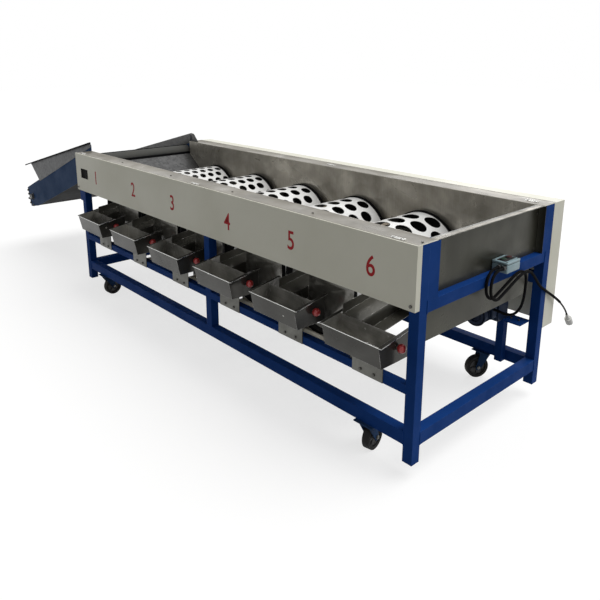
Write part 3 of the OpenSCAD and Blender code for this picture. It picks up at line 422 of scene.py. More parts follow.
STAIN: Colour = (0.062, 0.059, 0.048)
FINISHES = {
    finish.name: finish
    for finish in (
        Finish("blue_paint", (0.008, 0.047, 0.21), (0.005, 0.028, 0.12), (0.50, 0.66), specular=0.04, chips=0.05,
               chip_colour=(0.05, 0.08, 0.16), wear=0.55, wear_colour=(0.04, 0.10, 0.32)),
        Finish("navy_paint", (0.022, 0.056, 0.135), (0.012, 0.028, 0.066), (0.50, 0.66), specular=0.04, chips=0.05,
               chip_colour=(0.05, 0.07, 0.12), wear=0.5, wear_colour=(0.10, 0.13, 0.20)),
        Finish("white_paint", (0.71, 0.70, 0.595), (0.60, 0.585, 0.475), (0.40, 0.55), specular=0.4, cloud=2.0,
               soil=0.4, bump=0.02, wear=0.5, wear_colour=(0.86, 0.85, 0.78)),
        # Dark base: painted reflection of dark surroundings. Light inward faces: painted light in the trays. Light
        # edges: partly wear, partly painted edge highlight.
        Finish("steel_tray", (0.105, 0.102, 0.092), (0.034, 0.033, 0.028), (0.10, 0.30), metallic=0.35, specular=0.25,
               grain=Grain.ALONG_X, smears=0.7, inside=(0.85, 0.83, 0.77), middle=(-265.0, -25.0, 500.0),
               across=1.0, chips=0.17, chip_scale=30.0, chip_colour=(0.62, 0.61, 0.57), bump=0.012, wear=0.8,
               wear_colour=(0.75, 0.74, 0.71)),
        Finish("steel_slide", (0.175, 0.17, 0.15), STAIN, (0.10, 0.30), metallic=0.4, specular=0.25,
               grain=Grain.ALONG_Y, smears=0.7, bump=0.012, wear=0.7, wear_colour=(0.75, 0.74, 0.71)),
        Finish("steel_wall", (0.70, 0.665, 0.585), (0.165, 0.153, 0.127), (0.22, 0.50), metallic=0.5,
               grain=Grain.ALONG_Z, streaks=0.62, cloud=4.4, soil=0.85, smears=0.7, bump=0.02),
        Finish("steel_deck", (0.55, 0.48, 0.39), (0.36, 0.31, 0.24), (0.32, 0.46), metallic=0.4, cloud=6.0, soil=0.5,
               bump=0.015),
        Finish("steel_infeed", (0.066, 0.066, 0.066), (0.010, 0.010, 0.010), (0.36, 0.54), metallic=0.5, spangle=0.75,
               cloud=3.0, soil=0.7, bump=0.015),
        # Very dark stainless of the end plates and the end trim: painted shade, so that the end flange reads as a
        # shaded wall.
        Finish("steel_end_painted_shade", (0.072, 0.071, 0.053), (0.034, 0.033, 0.026), (0.24, 0.42), metallic=0.45, specular=0.2,
               grain=Grain.ALONG_Z, cloud=2.6, soil=0.7, smears=0.5, bump=0.012),
        Finish("steel_flange", (0.32, 0.295, 0.245), (0.105, 0.095, 0.075), (0.26, 0.50), metallic=0.5,
               grain=Grain.ALONG_X, cloud=5.0, soil=0.75, smears=0.35, bump=0.015),
        Finish("steel_edge", (0.80, 0.80, 0.78), (0.62, 0.61, 0.58), (0.16, 0.28), metallic=1.0, bump=0.01, edge=0.0),
        Finish("grey_sheet", (0.115, 0.118, 0.122), (0.045, 0.046, 0.047), (0.36, 0.52), metallic=0.3, specular=0.2,
               spangle=0.35, cloud=3.5, soil=0.4, rear=(0.15, 0.15, 0.147), wear=0.5,
               wear_colour=(0.34, 0.34, 0.33)),
        Finish("zinc", (0.17, 0.17, 0.155), (0.065, 0.064, 0.056), (0.30, 0.50), metallic=0.8, cloud=18.0,
               smears=0.6),
        Finish("bolt_dark", (0.075, 0.073, 0.068), (0.16, 0.155, 0.14), (0.34, 0.52), metallic=0.9, cloud=60.0),
        # Inward faces of the drums are near black: painted shade inside the drums.
        Finish("drum_white", (0.80, 0.80, 0.79), (0.62, 0.61, 0.56), (0.30, 0.44), cloud=4.0, soil=0.35,
               inside=(0.10, 0.098, 0.09), middle=(-681.0, 0.0, 578.0)),
        Finish("drum_black", (0.004, 0.004, 0.0045), (0.014, 0.0135, 0.012), (0.46, 0.64), specular=0.06, chips=0.05),
        Finish("nylon", (0.66, 0.63, 0.54), (0.44, 0.41, 0.33), (0.42, 0.56), bump_scale=400.0),
        Finish("cast_housing", (0.030, 0.032, 0.036), (0.07, 0.062, 0.05), (0.48, 0.66), cloud=20.0, bump=0.25,
               bump_scale=700.0),
        Finish("belt_rubber", (0.055, 0.056, 0.052), (0.10, 0.096, 0.085), (0.60, 0.78), specular=0.15, cloud=7.0,
               bump=0.20, bump_scale=500.0),
        Finish("dark_sheet", (0.026, 0.028, 0.030), (0.05, 0.046, 0.040), (0.60, 0.76), specular=0.04),
        Finish("motor_blue", (0.012, 0.024, 0.055), (0.010, 0.016, 0.03), (0.40, 0.58), specular=0.15, cloud=14.0,
               bump=0.10),
        Finish("chain_steel", (0.10, 0.10, 0.10), (0.05, 0.045, 0.04), (0.34, 0.56), metallic=1.0, cloud=40.0),
        Finish("box_green", (0.26, 0.365, 0.40), (0.20, 0.28, 0.30), (0.40, 0.54), cloud=22.0, bump=0.10,
               bump_scale=900.0),
        Finish("black_plastic", (0.010, 0.010, 0.011), (0.03, 0.03, 0.028), (0.42, 0.58), bump_scale=800.0),
        Finish("cable_black", (0.004, 0.004, 0.005), (0.012, 0.012, 0.011), (0.52, 0.68), specular=0.04, edge=0.0),
        Finish("plug_white", (0.70, 0.70, 0.68), (0.58, 0.57, 0.52), (0.34, 0.48), bump_scale=600.0),
        Finish("tyre_dark", (0.018, 0.018, 0.019), (0.05, 0.046, 0.040), (0.58, 0.78), specular=0.15, cloud=26.0,
               bump=0.12, bump_scale=600.0),
        Finish("hub_grey", (0.075, 0.075, 0.076), (0.045, 0.045, 0.042), (0.42, 0.60), specular=0.3, cloud=24.0),
        Finish("knob_red", (0.55, 0.040, 0.040), (0.34, 0.020, 0.022), (0.24, 0.36), coat=0.15, cloud=30.0, edge=0.0),
        Finish("button_green", (0.012, 0.040, 0.024), (0.010, 0.022, 0.014), (0.34, 0.46), cloud=60.0),
        Finish("button_red", (0.060, 0.010, 0.011), (0.032, 0.007, 0.008), (0.34, 0.46), cloud=60.0),
        Finish("digit_red", (0.40, 0.014, 0.019), (0.28, 0.014, 0.017), (0.46, 0.60), specular=0.15, cloud=40.0,
               edge=0.0),
        Finish("bare_plate", (0.006, 0.006, 0.006), (0.022, 0.021, 0.019), (0.60, 0.74), specular=0.02, cloud=30.0),
    )
}
MATERIALS: dict[str, Material] = {name: finish.build() for name, finish in FINISHES.items()}


class Bench:
    """Hand tools that model one piece at a time."""

    @staticmethod
    def clear() -> None:
        """Leave nothing selected."""
        active = bpy.context.view_layer.objects.active
        if active is not None and active.mode != "OBJECT":
            bpy.ops.object.mode_set(mode="OBJECT")
        bpy.ops.object.select_all(action="DESELECT")

    @staticmethod
    def hold(piece: Obj) -> None:
        """Select one piece alone and make it active.

        Args:
            piece: The piece.
        """
        Bench.clear()
        bpy.context.view_layer.objects.active = piece
        piece.select_set(True)

    @staticmethod
    def modify(piece: Obj, kind: str, **settings: object) -> None:
        """Add a modifier and apply it.

        Args:
            piece: The piece to change.
            kind: The modifier's type.
            settings: The modifier's values.
        """
        Bench.hold(piece)
        modifier = piece.modifiers.new(kind.lower(), kind)
        for name, value in settings.items():
            setattr(modifier, name, value)
        bpy.ops.object.modifier_apply(modifier=modifier.name)

    @staticmethod
    def drop(*pieces: Obj) -> None:
        """Remove patterns that have been copied."""
        for piece in pieces:
            bpy.data.objects.remove(piece)

    @staticmethod
    def settle(name: str) -> Obj:
        """Name the newest primitive and put its place into its mesh.

        Args:
            name: The piece's name.

        Returns:
            The piece, at the origin.
        """
        piece = bpy.context.object
        piece.name = piece.data.name = name
        bpy.ops.object.transform_apply(location=True, rotation=True, scale=True)
        return piece

    @staticmethod
    def box(name: str, low: Vector, high: Vector) -> Obj:
        """Add a block between two corners.

        Args:
            name: The piece's name.
            low: Lowest corner.
            high: Highest corner.

        Returns:
            The block.
        """
        Bench.clear()
        bpy.ops.mesh.primitive_cube_add(size=1.0, location=(low + high) / 2.0)
        bpy.context.object.scale = high - low
        return Bench.settle(name)

    @staticmethod
    def rod(name: str, start: Vector, end: Vector, radius: float, sides: int = 24) -> Obj:
        """Add a round bar between two points.

        Args:
            name: The piece's name.
            start: Centre of one end.
            end: Centre of the other end.
            radius: The bar's radius.
            sides: Faces around the bar.

        Returns:
            The bar.
        """
        Bench.clear()
        run = end - start
        turn = run.to_track_quat("Z", "Y").to_euler()
        bpy.ops.mesh.primitive_cylinder_add(
            vertices=sides, radius=radius, depth=run.length, location=(start + end) / 2.0, rotation=turn
        )
        return Bench.settle(name)

    @staticmethod
    def pick(piece: Obj, test: Callable[[bmesh.types.BMFace], bool]) -> None:
        """Enter edit mode with only some faces selected.

        Args:
            piece: The piece to edit.
            test: Says which faces to select.
        """
        Bench.hold(piece)
        bpy.ops.object.mode_set(mode="EDIT")
        bpy.ops.mesh.select_mode(type="FACE")
        bpy.ops.mesh.select_all(action="DESELECT")
        mesh = bmesh.from_edit_mesh(piece.data)
        for face in mesh.faces:
            face.select_set(bool(test(face)))
        bmesh.update_edit_mesh(piece.data)

    @staticmethod
    def leave() -> None:
        """Go back to object mode."""
        bpy.ops.object.mode_set(mode="OBJECT")

    @staticmethod
    def cut(piece: Obj, point: Vector, normal: Point) -> None:
        """Cut a piece at a plane, drop what lies outside and close the rest.

        Args:
            piece: The piece to cut.
            point: A point of the plane.
            normal: The way that is cut off.
        """
        Bench.pick(piece, lambda face: True)
        bpy.ops.mesh.bisect(plane_co=point, plane_no=normal, use_fill=True, clear_outer=True)
        Bench.leave()

    @staticmethod
    def hollow(piece: Obj, axis: Vector, wall: float) -> None:
        """Open a piece at both ends and give it a wall inwards.

        Args:
            piece: The piece to open.
            axis: The way its ends look.
            wall: The wall's thickness.
        """
        Bench.pick(piece, lambda face: abs(face.normal.dot(axis)) > FLAT)
        bpy.ops.mesh.delete(type="ONLY_FACE")
        Bench.leave()
        Bench.modify(piece, "SOLIDIFY", thickness=wall, offset=-1.0)

    @staticmethod
    def ring(name: str, radius: float, width: float, depth: float, sides: int) -> Obj:
        """Make a ring about the Y axis.

        Args:
            name: The piece's name.
            radius: Outer radius.
            width: Width along Y.
            depth: Radial depth.
            sides: Faces around it.

        Returns:
            The ring.
        """
        half = Vector((0.0, width / 2.0, 0.0))
        ring = Bench.rod(name, -half, half, radius, sides)
        Bench.hollow(ring, FRONT, depth)
        return ring

    @staticmethod
    def step(piece: Obj, normal: Vector, inset: float, depth: float) -> None:
        """Inset the faces that look one way and push them in or out.

        Args:
            piece: The piece to edit.
            normal: The way the faces look.
            inset: Width of the rim that is left.
            depth: How far the middle moves along its normal.
        """
        Bench.pick(piece, lambda face: face.normal.dot(normal) > FACING)
        bpy.ops.mesh.inset(thickness=inset, depth=0.0, use_even_offset=True)
        bpy.ops.mesh.extrude_region_move(TRANSFORM_OT_translate={"value": tuple(normal * depth)})
        Bench.leave()

    @staticmethod
    def round_edges(piece: Obj, width: float, segments: int = 2, angle: float = 30.0) -> Obj:
        """Bevel the sharp edges and apply it.

        Args:
            piece: The piece to finish.
            width: Width of the bevel.
            segments: Faces across the bevel.
            angle: Edges sharper than this, in degrees, are rounded.

        Returns:
            The piece.
        """
        Bench.modify(piece, "BEVEL", width=width, segments=segments, limit_method="ANGLE",
                     angle_limit=math.radians(angle))
        return piece

    @staticmethod
    def join(name: str, pieces: Sequence[Obj]) -> Obj:
        """Make several solids one piece.

        Args:
            name: The joined piece's name.
            pieces: What is joined.

        Returns:
            The joined piece.
        """
        Bench.clear()
        for piece in pieces:
            piece.select_set(True)
        bpy.context.view_layer.objects.active = pieces[0]
        bpy.ops.object.join()
        pieces[0].name = pieces[0].data.name = name
        return pieces[0]

    @staticmethod
    def copy(piece: Obj, name: str, move: Vector) -> Obj:
        """Copy a piece with a mesh of its own.

        Args:
            piece: What is copied.
            name: The copy's name.
            move: How far the copy stands from it.

        Returns:
            The copy.
        """
        twin = piece.copy()
        twin.data = piece.data.copy()
        twin.name = twin.data.name = name
        bpy.context.scene.collection.objects.link(twin)
        twin.data.transform(Matrix.Translation(move))
        return twin

    @staticmethod
    def finish(piece: Obj, finish: str, body: str = BASE, slot: str | None = None, smooth: float = 35.0) -> Obj:
        """Dress a piece and let it ride on its body.

        Args:
            piece: The finished mesh.
            finish: Name of its finish.
            body: The body it moves with.
            slot: The record's slot, where it isn't the finish's own name; not used.
            smooth: Edges under this angle, in degrees, are shaded smooth.

        Returns:
            The piece.
        """
        Bench.hold(piece)
        bpy.ops.object.shade_smooth_by_angle(angle=math.radians(smooth))
        piece.data.materials.clear()
        piece.data.materials.append(MATERIALS[finish])
        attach(piece, body)
        slot or finish
        LOG.info("%s rides on %s with %d faces", piece.name, body, len(piece.data.polygons))
        return piece


def smooth_route(points: Sequence[Vector], step: float) -> list[Vector]:
    """Run a smooth line through given points.

    Args:
        points: The points, in order.
        step: Greatest distance between two points of the line.

    Returns:
        Points along the line.
    """
    line: list[Vector] = []
    count = len(points)
    for i in range(count - 1):
        before = points[max(i - 1, 0)]
        after = points[min(i + 2, count - 1)]
        a, b = points[i], points[i + 1]
        parts = max(1, math.ceil((b - a).length / step))
        for j in range(parts):
            t = j / parts
            bend = (2.0 * before - 5.0 * a + 4.0 * b - after) * t * t
            twist = (3.0 * a - before - 3.0 * b + after) * t * t * t
            line.append(0.5 * (2.0 * a + (b - before) * t + bend + twist))
    line.append(points[-1].copy())
    return line


def route_length(line: Sequence[Vector]) -> float:
    """Return the length of a line of points."""
    return sum((b - a).length for a, b in zip(line, line[1:]))


def sweep(name: str, line: Sequence[Vector], radius: float, shares: Sequence[float]) -> Obj:
    """Make a closed tube along a line.

    Args:
        name: The piece's name.
        line: Points along its middle.
        radius: Its greatest radius.
        shares: Share of the radius at each point.

    Returns:
        The tube.
    """
    Bench.clear()
    bpy.ops.curve.primitive_bezier_curve_add()
    tube = bpy.context.object
    curve = tube.data
    curve.splines.clear()
    spline = curve.splines.new("POLY")
    spline.points.add(len(line) - 1)
    for point, place, share in zip(spline.points, line, shares):
        point.co = (*place, 1.0)
        point.radius = share
    curve.dimensions = "3D"
    curve.bevel_depth = radius
    curve.bevel_resolution = 4
    curve.use_fill_caps = True
    bpy.ops.object.convert(target="MESH")
    return Bench.settle(name)


@dataclass
class Studio:
    """Camera, floor and lamps."""

    eye: Point = (1375.8, -1853.8, 1666.8)
    right: Point = (0.6720, 0.7406, 0.0027)
    forward: Point = (-0.7175, 0.6520, -0.2452)
    sensor: float = 36.0
    focal: float = 37.591
    shift: float = -0.14303
    sight: float = 100.0
    floor_size: float = 60.0
    floor_colour: Colour = (0.34, 0.34, 0.337)
    floor_glow: float = 0.70
    sky: float = 0.28
    sun_from: Point = (0.34, 0.30, 0.89)
    sun_far: float = 6.0
    sun_power: float = 2.4
    sun_angle: float = 50.0
    rear_place: Point = (-0.4, 4.6, 3.6)
    rear_target: Point = (0.2, 0.3, 0.9)
    rear_size: float = 2.4
    rear_power: float = 60.0

    def build(self) -> None:
        """Set the camera, the floor, the world and the lamps."""
        self._camera()
        self._floor()
        self._world()
        sun, rear = Vector(self.sun_from), Vector(self.rear_place)
        self._lamp("soft_sun", "SUN", sun * self.sun_far, -sun, energy=self.sun_power,
                   angle=math.radians(self.sun_angle))
        self._lamp("rear_lamp", "AREA", rear, Vector(self.rear_target) - rear, size=self.rear_size,
                   energy=self.rear_power)

    @staticmethod
    def _stand(data: bpy.types.ID) -> Obj:
        """Put a camera or a lamp into the scene under its own name.

        Args:
            data: The camera's or the lamp's own data.

        Returns:
            The new object.
        """
        thing = bpy.data.objects.new(data.name, data)
        bpy.context.scene.collection.objects.link(thing)
        return thing

    def _camera(self) -> None:
        """Place the camera at the photograph's viewpoint."""
        data = bpy.data.cameras.new("camera")
        data.sensor_width = self.sensor
        data.lens = self.focal
        data.shift_y = self.shift
        data.clip_end = self.sight
        camera = self._stand(data)
        ahead = Vector(self.forward).normalized()
        right = Vector(self.right)
        right = (right - ahead * right.dot(ahead)).normalized()
        turn = Matrix((right, right.cross(ahead), -ahead)).transposed().to_4x4()
        camera.matrix_world = Matrix.Translation(at(*self.eye)) @ turn
        bpy.context.scene.camera = camera

    def _floor(self) -> None:
        """Lay a plain pale floor that keeps the machine's shadow."""
        Bench.clear()
        bpy.ops.mesh.primitive_plane_add(size=self.floor_size, location=(0.0, 0.0, 0.0))
        floor = bpy.context.object
        floor.name = "floor"
        material, desk = new_material("pale_floor")
        shader = desk.add("BsdfDiffuse", (*self.floor_colour, 1.0))
        glow = desk.add("Emission", Strength=desk.ranged(self._seen(desk), 0.0, self.floor_glow))
        both = desk.add("AddShader", shader.outputs[0], glow.outputs[0])
        desk.add("OutputMaterial", both.outputs[0])
        floor.data.materials.append(material)

    @staticmethod
    def _seen(desk: NodeDesk) -> Socket:
        """Return 1 for rays that show the background and 0 for rays that light the machine.

        Args:
            desk: Desk of the nodes.

        Returns:
            The value's socket.
        """
        rays = desk.add("LightPath").outputs
        seen = desk.math("MAXIMUM", rays["Is Camera Ray"], rays["Is Glossy Ray"])
        return desk.math("MAXIMUM", seen, rays["Is Transmission Ray"])

    def _world(self) -> None:
        """Light the machine softly and show a white background."""
        world = bpy.data.worlds.new("studio")
        bpy.context.scene.world = world
        world.use_nodes = True
        world.node_tree.nodes.clear()
        desk = NodeDesk(world.node_tree)
        sky = desk.add("Background", (1.0, 1.0, 1.0, 1.0), desk.ranged(self._seen(desk), self.sky, 1.0))
        desk.add("OutputWorld", sky.outputs[0])
        bpy.context.scene.view_settings.view_transform = "Standard"

    def _lamp(self, name: str, kind: str, place: Vector, aim: Vector, **values: float) -> None:
        """Hang one lamp.

        Args:
            name: The lamp's name.
            kind: The lamp's type.
            place: Where it hangs.
            aim: The way it looks.
            values: Its power, size or angle.
        """
        data = bpy.data.lights.new(name, kind)
        for label, value in values.items():
            setattr(data, label, value)
        lamp = self._stand(data)
        lamp.location = place
        lamp.rotation_euler = aim.to_track_quat("-Z", "Y").to_euler()


@dataclass
class CableRun:
    """Black sleeves, mains lead and moulded plug."""

    sleeve_radius: float = 0.007
    rib_depth: float = 0.0007
    rib_pitch: float = 0.0042
    lead_radius: float = 0.0045
    lead_step: float = 0.004
    motor_x: float = 8.0
    mains_x: float = 31.0
    gland_x: float = 32.0
    gland: tuple[float, float] = (540.0, 740.0)
    shared: tuple[tuple[float, float], ...] = (
        (582, 754), (570, 754), (560, 754), (544, 752), (529, 746), (516, 736), (506, 723), (500, 708), (498, 692),
        (498, 676), (500, 661), (505, 647), (514, 635), (525, 625), (538, 618), (553, 614), (568, 614), (582, 618),
        (640, 640), (700, 664), (735, 677), (755, 683),
    )
    mains_end: tuple[Point, ...] = (
        (31, 775, 687), (31, 796, 688), (31, 817, 686), (31, 838, 680), (27, 858, 671), (26, 876, 659),
        (24, 900, 640), (20, 930, 616), (15, 960, 592), (10, 990, 569), (8, 1020, 548), (8, 1050, 530),
        (8, 1080, 512), (9, 1110, 494), (12, 1140, 475), (16, 1170, 455), (20, 1200, 433), (22, 1215, 421),
    )
    lead: tuple[Point, ...] = (
        (22, 1215, 421), (22, 1217, 419), (24, 1240, 399), (26, 1262, 377), (28, 1282, 354), (28, 1300, 330),
    )
    motor_end: tuple[Point, ...] = (
        (8, 775, 686), (8, 796, 685), (8, 816, 679), (8, 834, 668), (7, 847, 653), (6, 855, 635), (5, 859, 616),
        (4, 861, 596), (4, 861, 576), (4, 859, 556), (4, 856, 536), (3, 851, 517), (1, 846, 499), (-3, 840, 483),
        (-10, 834, 468), (-19, 828, 456), (-31, 824, 447), (-45, 822, 441), (-62, 823, 438), (-80, 825, 437),
        (-98, 828, 437), (-116, 831, 437), (-128, 832, 437), (-138, 832, 437),
    )
    plug_tilt: float = 53.0
    plug_long: float = 0.040
    plug_radius: float = 0.0188
    plug_edge: float = 0.0035
    shoulders: tuple[float, float] = (0.0030, 0.0060)
    grip: tuple[float, float] = (0.013, 0.019)
    grip_proud: float = 0.0001
    relief: float = 0.036
    relief_radius: float = 0.0068
    rings: int = 5
    ring_start: float = 0.004
    ring_pitch: float = 0.0064
    ring_long: float = 0.0036
    ring_radius: float = 0.0076
    ring_grow: float = 0.0006
    ring_edge: float = 0.0007
    pin_long: float = 0.0198
    pin_radius: float = 0.0024
    pin_apart: float = 0.0095
    pin_sunk: float = 0.001
    pin_edge: float = 0.0010

    def build(self) -> None:
        plug = self._plug()
        y0, z0 = self.gland
        start = [at(self.gland_x if y > y0 and z > z0 else self.mains_x, y, z) for y, z in self.shared]
        mains = self._sleeve("mains_sleeve", start + [at(*p) for p in self.mains_end])
        start = [at(self.motor_x, y, z) for y, z in self.shared]
        motor = self._sleeve("motor_sleeve", start + [at(*p) for p in self.motor_end])
        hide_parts("motor_cable")
        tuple(motor[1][0])
        route_length(motor[1])
        line = smooth_route([at(*p) for p in self.lead], self.lead_step)
        lead = sweep("mains_lead", line, self.lead_radius, [1.0] * len(line))
        Bench.finish(lead, "cable_black", smooth=ROUND_SMOOTH)
        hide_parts("mains_cable")
        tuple(mains[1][0])
        route_length(mains[1])
        route_length(line)

    def _sleeve(self, name: str, points: Sequence[Vector]) -> tuple[Obj, list[Vector]]:
        """Make one ribbed sleeve.

        Args:
            name: The piece's name.
            points: Its given route.

        Returns:
            The sleeve and the line that it follows.
        """
        line = smooth_route(points, self.rib_pitch / 2)
        valley = 1.0 - self.rib_depth / self.sleeve_radius
        tube = sweep(name, line, self.sleeve_radius, [valley if i % 2 else 1.0 for i in range(len(line))])
        Bench.finish(tube, "cable_black", smooth=RIB_SMOOTH)
        return tube, line

    def _plug(self) -> Obj:
        """Make the white moulded plug with its strain relief and round pins.

        Returns:
            The plug.
        """
        end = at(*self.lead[-1])
        tilt = math.radians(self.plug_tilt)
        along = Vector((0.0, math.cos(tilt), -math.sin(tilt)))
        low = end + along * self.relief
        relief = [Bench.rod("relief", end, low, self.relief_radius, 20)]
        for i in range(self.rings):
            foot = end + along * (self.ring_start + self.ring_pitch * i)
            radius = self.ring_radius + self.ring_grow * i
            ring = Bench.rod("relief_ring", foot, foot + along * self.ring_long, radius, 20)
            relief.append(Bench.round_edges(ring, self.ring_edge))
        body = Bench.rod("plug_body", low, low + along * self.plug_long, self.plug_radius, 32)
        for way, shoulder in zip((along, -along), self.shoulders):
            Bench.step(body, way, shoulder, 0.0)
        Bench.round_edges(body, self.plug_edge, 4)
        ends = (low + along * share for share in self.grip)
        grip = Bench.rod("plug_grip", *ends, self.plug_radius + self.grip_proud, 32)
        Bench.round_edges(grip, FULL_EDGE)
        plug = Bench.join("mains_plug", [body, grip, *relief])
        Bench.finish(plug, "plug_white")
        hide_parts("plug")
        pins = []
        for side in (-1, 1):
            foot = low + along * (self.plug_long - self.pin_sunk) + RIGHT * side * self.pin_apart
            pin = Bench.rod("plug_pin", foot, foot + along * self.pin_long, self.pin_radius, 16)
            pins.append(Bench.round_edges(pin, self.pin_edge, 3))
        steel = Bench.finish(Bench.join("plug_pins", pins), "steel_edge", slot="zinc")
        steel.parent = plug
        steel.matrix_parent_inverse = Matrix.Identity(4)
        return plug


@dataclass
class PanelDress:
    """Painted digits and a bare plate on the front panel."""

    digits: tuple[tuple[float, float], ...] = (
        (-2805.0, 828.0), (-2259.0, 831.0), (-1783.0, 827.0), (-1234.0, 824.0), (-728.0, 831.0), (-233.0, 834.0),
    )
    height: float = 0.092
    narrow: float = 0.86
    paint: float = 0.0005
    bold: float = 0.009
    steps: int = 8
    plate: tuple[float, float, float, float] = (-3045.0, -2938.0, 797.0, 865.0)
    plate_proud: float = 2.0
    plate_rim: tuple[float, float] = (0.004, -0.0006)

    def build(self) -> None:
        """Paint the digits and fix the plate."""
        for number, (x, z) in enumerate(self.digits, start=1):
            self._digit(number, at(x, 0.0, z))
        x0, x1, z0, z1 = self.plate
        plate = Bench.box("bare_plate", at(x0, -self.plate_proud, z0), at(x1, 0.0, z1))
        Bench.step(plate, FRONT, *self.plate_rim)
        Bench.round_edges(plate, SMALL_EDGE)
        Bench.finish(plate, "bare_plate", slot="black_plastic")

    def _digit(self, number: int, place: Vector) -> None:
        """Paint one digit.

        Args:
            number: The digit.
            place: Its middle on the panel.
        """
        Bench.clear()
        bpy.ops.object.text_add()
        text = bpy.context.object.data
        text.body = str(number)
        text.align_x = "CENTER"
        text.extrude = self.paint
        text.offset = self.bold
        text.resolution_u = self.steps
        bpy.ops.object.convert(target="MESH")
        digit = bpy.context.object
        xs = [v.co.x for v in digit.data.vertices]
        ys = [v.co.y for v in digit.data.vertices]
        size = self.height / (max(ys) - min(ys))
        middle = Vector(((max(xs) + min(xs)) / 2, (max(ys) + min(ys)) / 2, 0.0))
        for move in (Matrix.Translation(-middle), Matrix.Diagonal((size * self.narrow, size, 1.0, 1.0)),
                     Matrix.Rotation(math.radians(90.0), 4, "X"), Matrix.Translation(place)):
            digit.data.transform(move)
        digit.name = digit.data.name = f"digit_{number}"
        Bench.finish(digit, "digit_red", slot="knob_red")


@dataclass
class TrayDress:
    """Rolled hems of the six trays and their handle collars."""

    first_x: float = -2790.0
    count: int = 6
    half: float = 176.5
    front: float = -87.0
    front_z: float = 541.0
    rear: float = 112.0
    rear_z: float = 574.0
    hem: float = 2.6
    knob: Point = (161.5, 35.0, 506.0)
    collar: tuple[float, float] = (4.0, 0.0115)
    collar_face: tuple[float, float] = (0.0025, 0.0012)
    hem_end: float = 0.45

    def build(self) -> None:
        """Roll the first tray's hems, turn its collar and copy them to the others."""
        hem, collar = self._hems(), self._collar()
        for k in [*range(1, self.count), 0]:
            move = RIGHT * (PITCH * k * MM)
            pair = [Bench.copy(piece, f"{name}_{k + 1}", move) if k else piece
                    for piece, name in ((hem, "tray_hem"), (collar, "knob_collar"))]
            Bench.finish(pair[0], "steel_edge", slot="stainless")
            Bench.finish(pair[1], "zinc")

    def _hems(self) -> Obj:
        """Roll the front edge and both lips of the first tray.

        Returns:
            The hems, as one piece.
        """
        r = self.hem
        x0, x1 = self.first_x - self.half + r, self.first_x + self.half - r
        fronts = [at(x, self.front + r, self.front_z - r) for x in (x0, x1)]
        rears = [at(x, self.rear, self.rear_z - r) for x in (x0, x1)]
        rods = [Bench.rod("hem", *ends, r * MM, 12) for ends in (*zip(fronts, rears), fronts)]
        for rod in rods:
            Bench.round_edges(rod, r * MM * self.hem_end, 2, 60.0)
        return Bench.join("tray_hem_1", rods)

    def _collar(self) -> Obj:
        """Turn the zinc collar that the first red ball screws against.

        Returns:
            The collar.
        """
        x, y, z = self.first_x + self.knob[0], *self.knob[1:]
        long, radius = self.collar
        collar = Bench.rod("knob_collar_1", at(x, y, z), at(x + long, y, z), radius, 6)
        Bench.step(collar, RIGHT, *self.collar_face)
        return Bench.round_edges(collar, SMALL_EDGE)


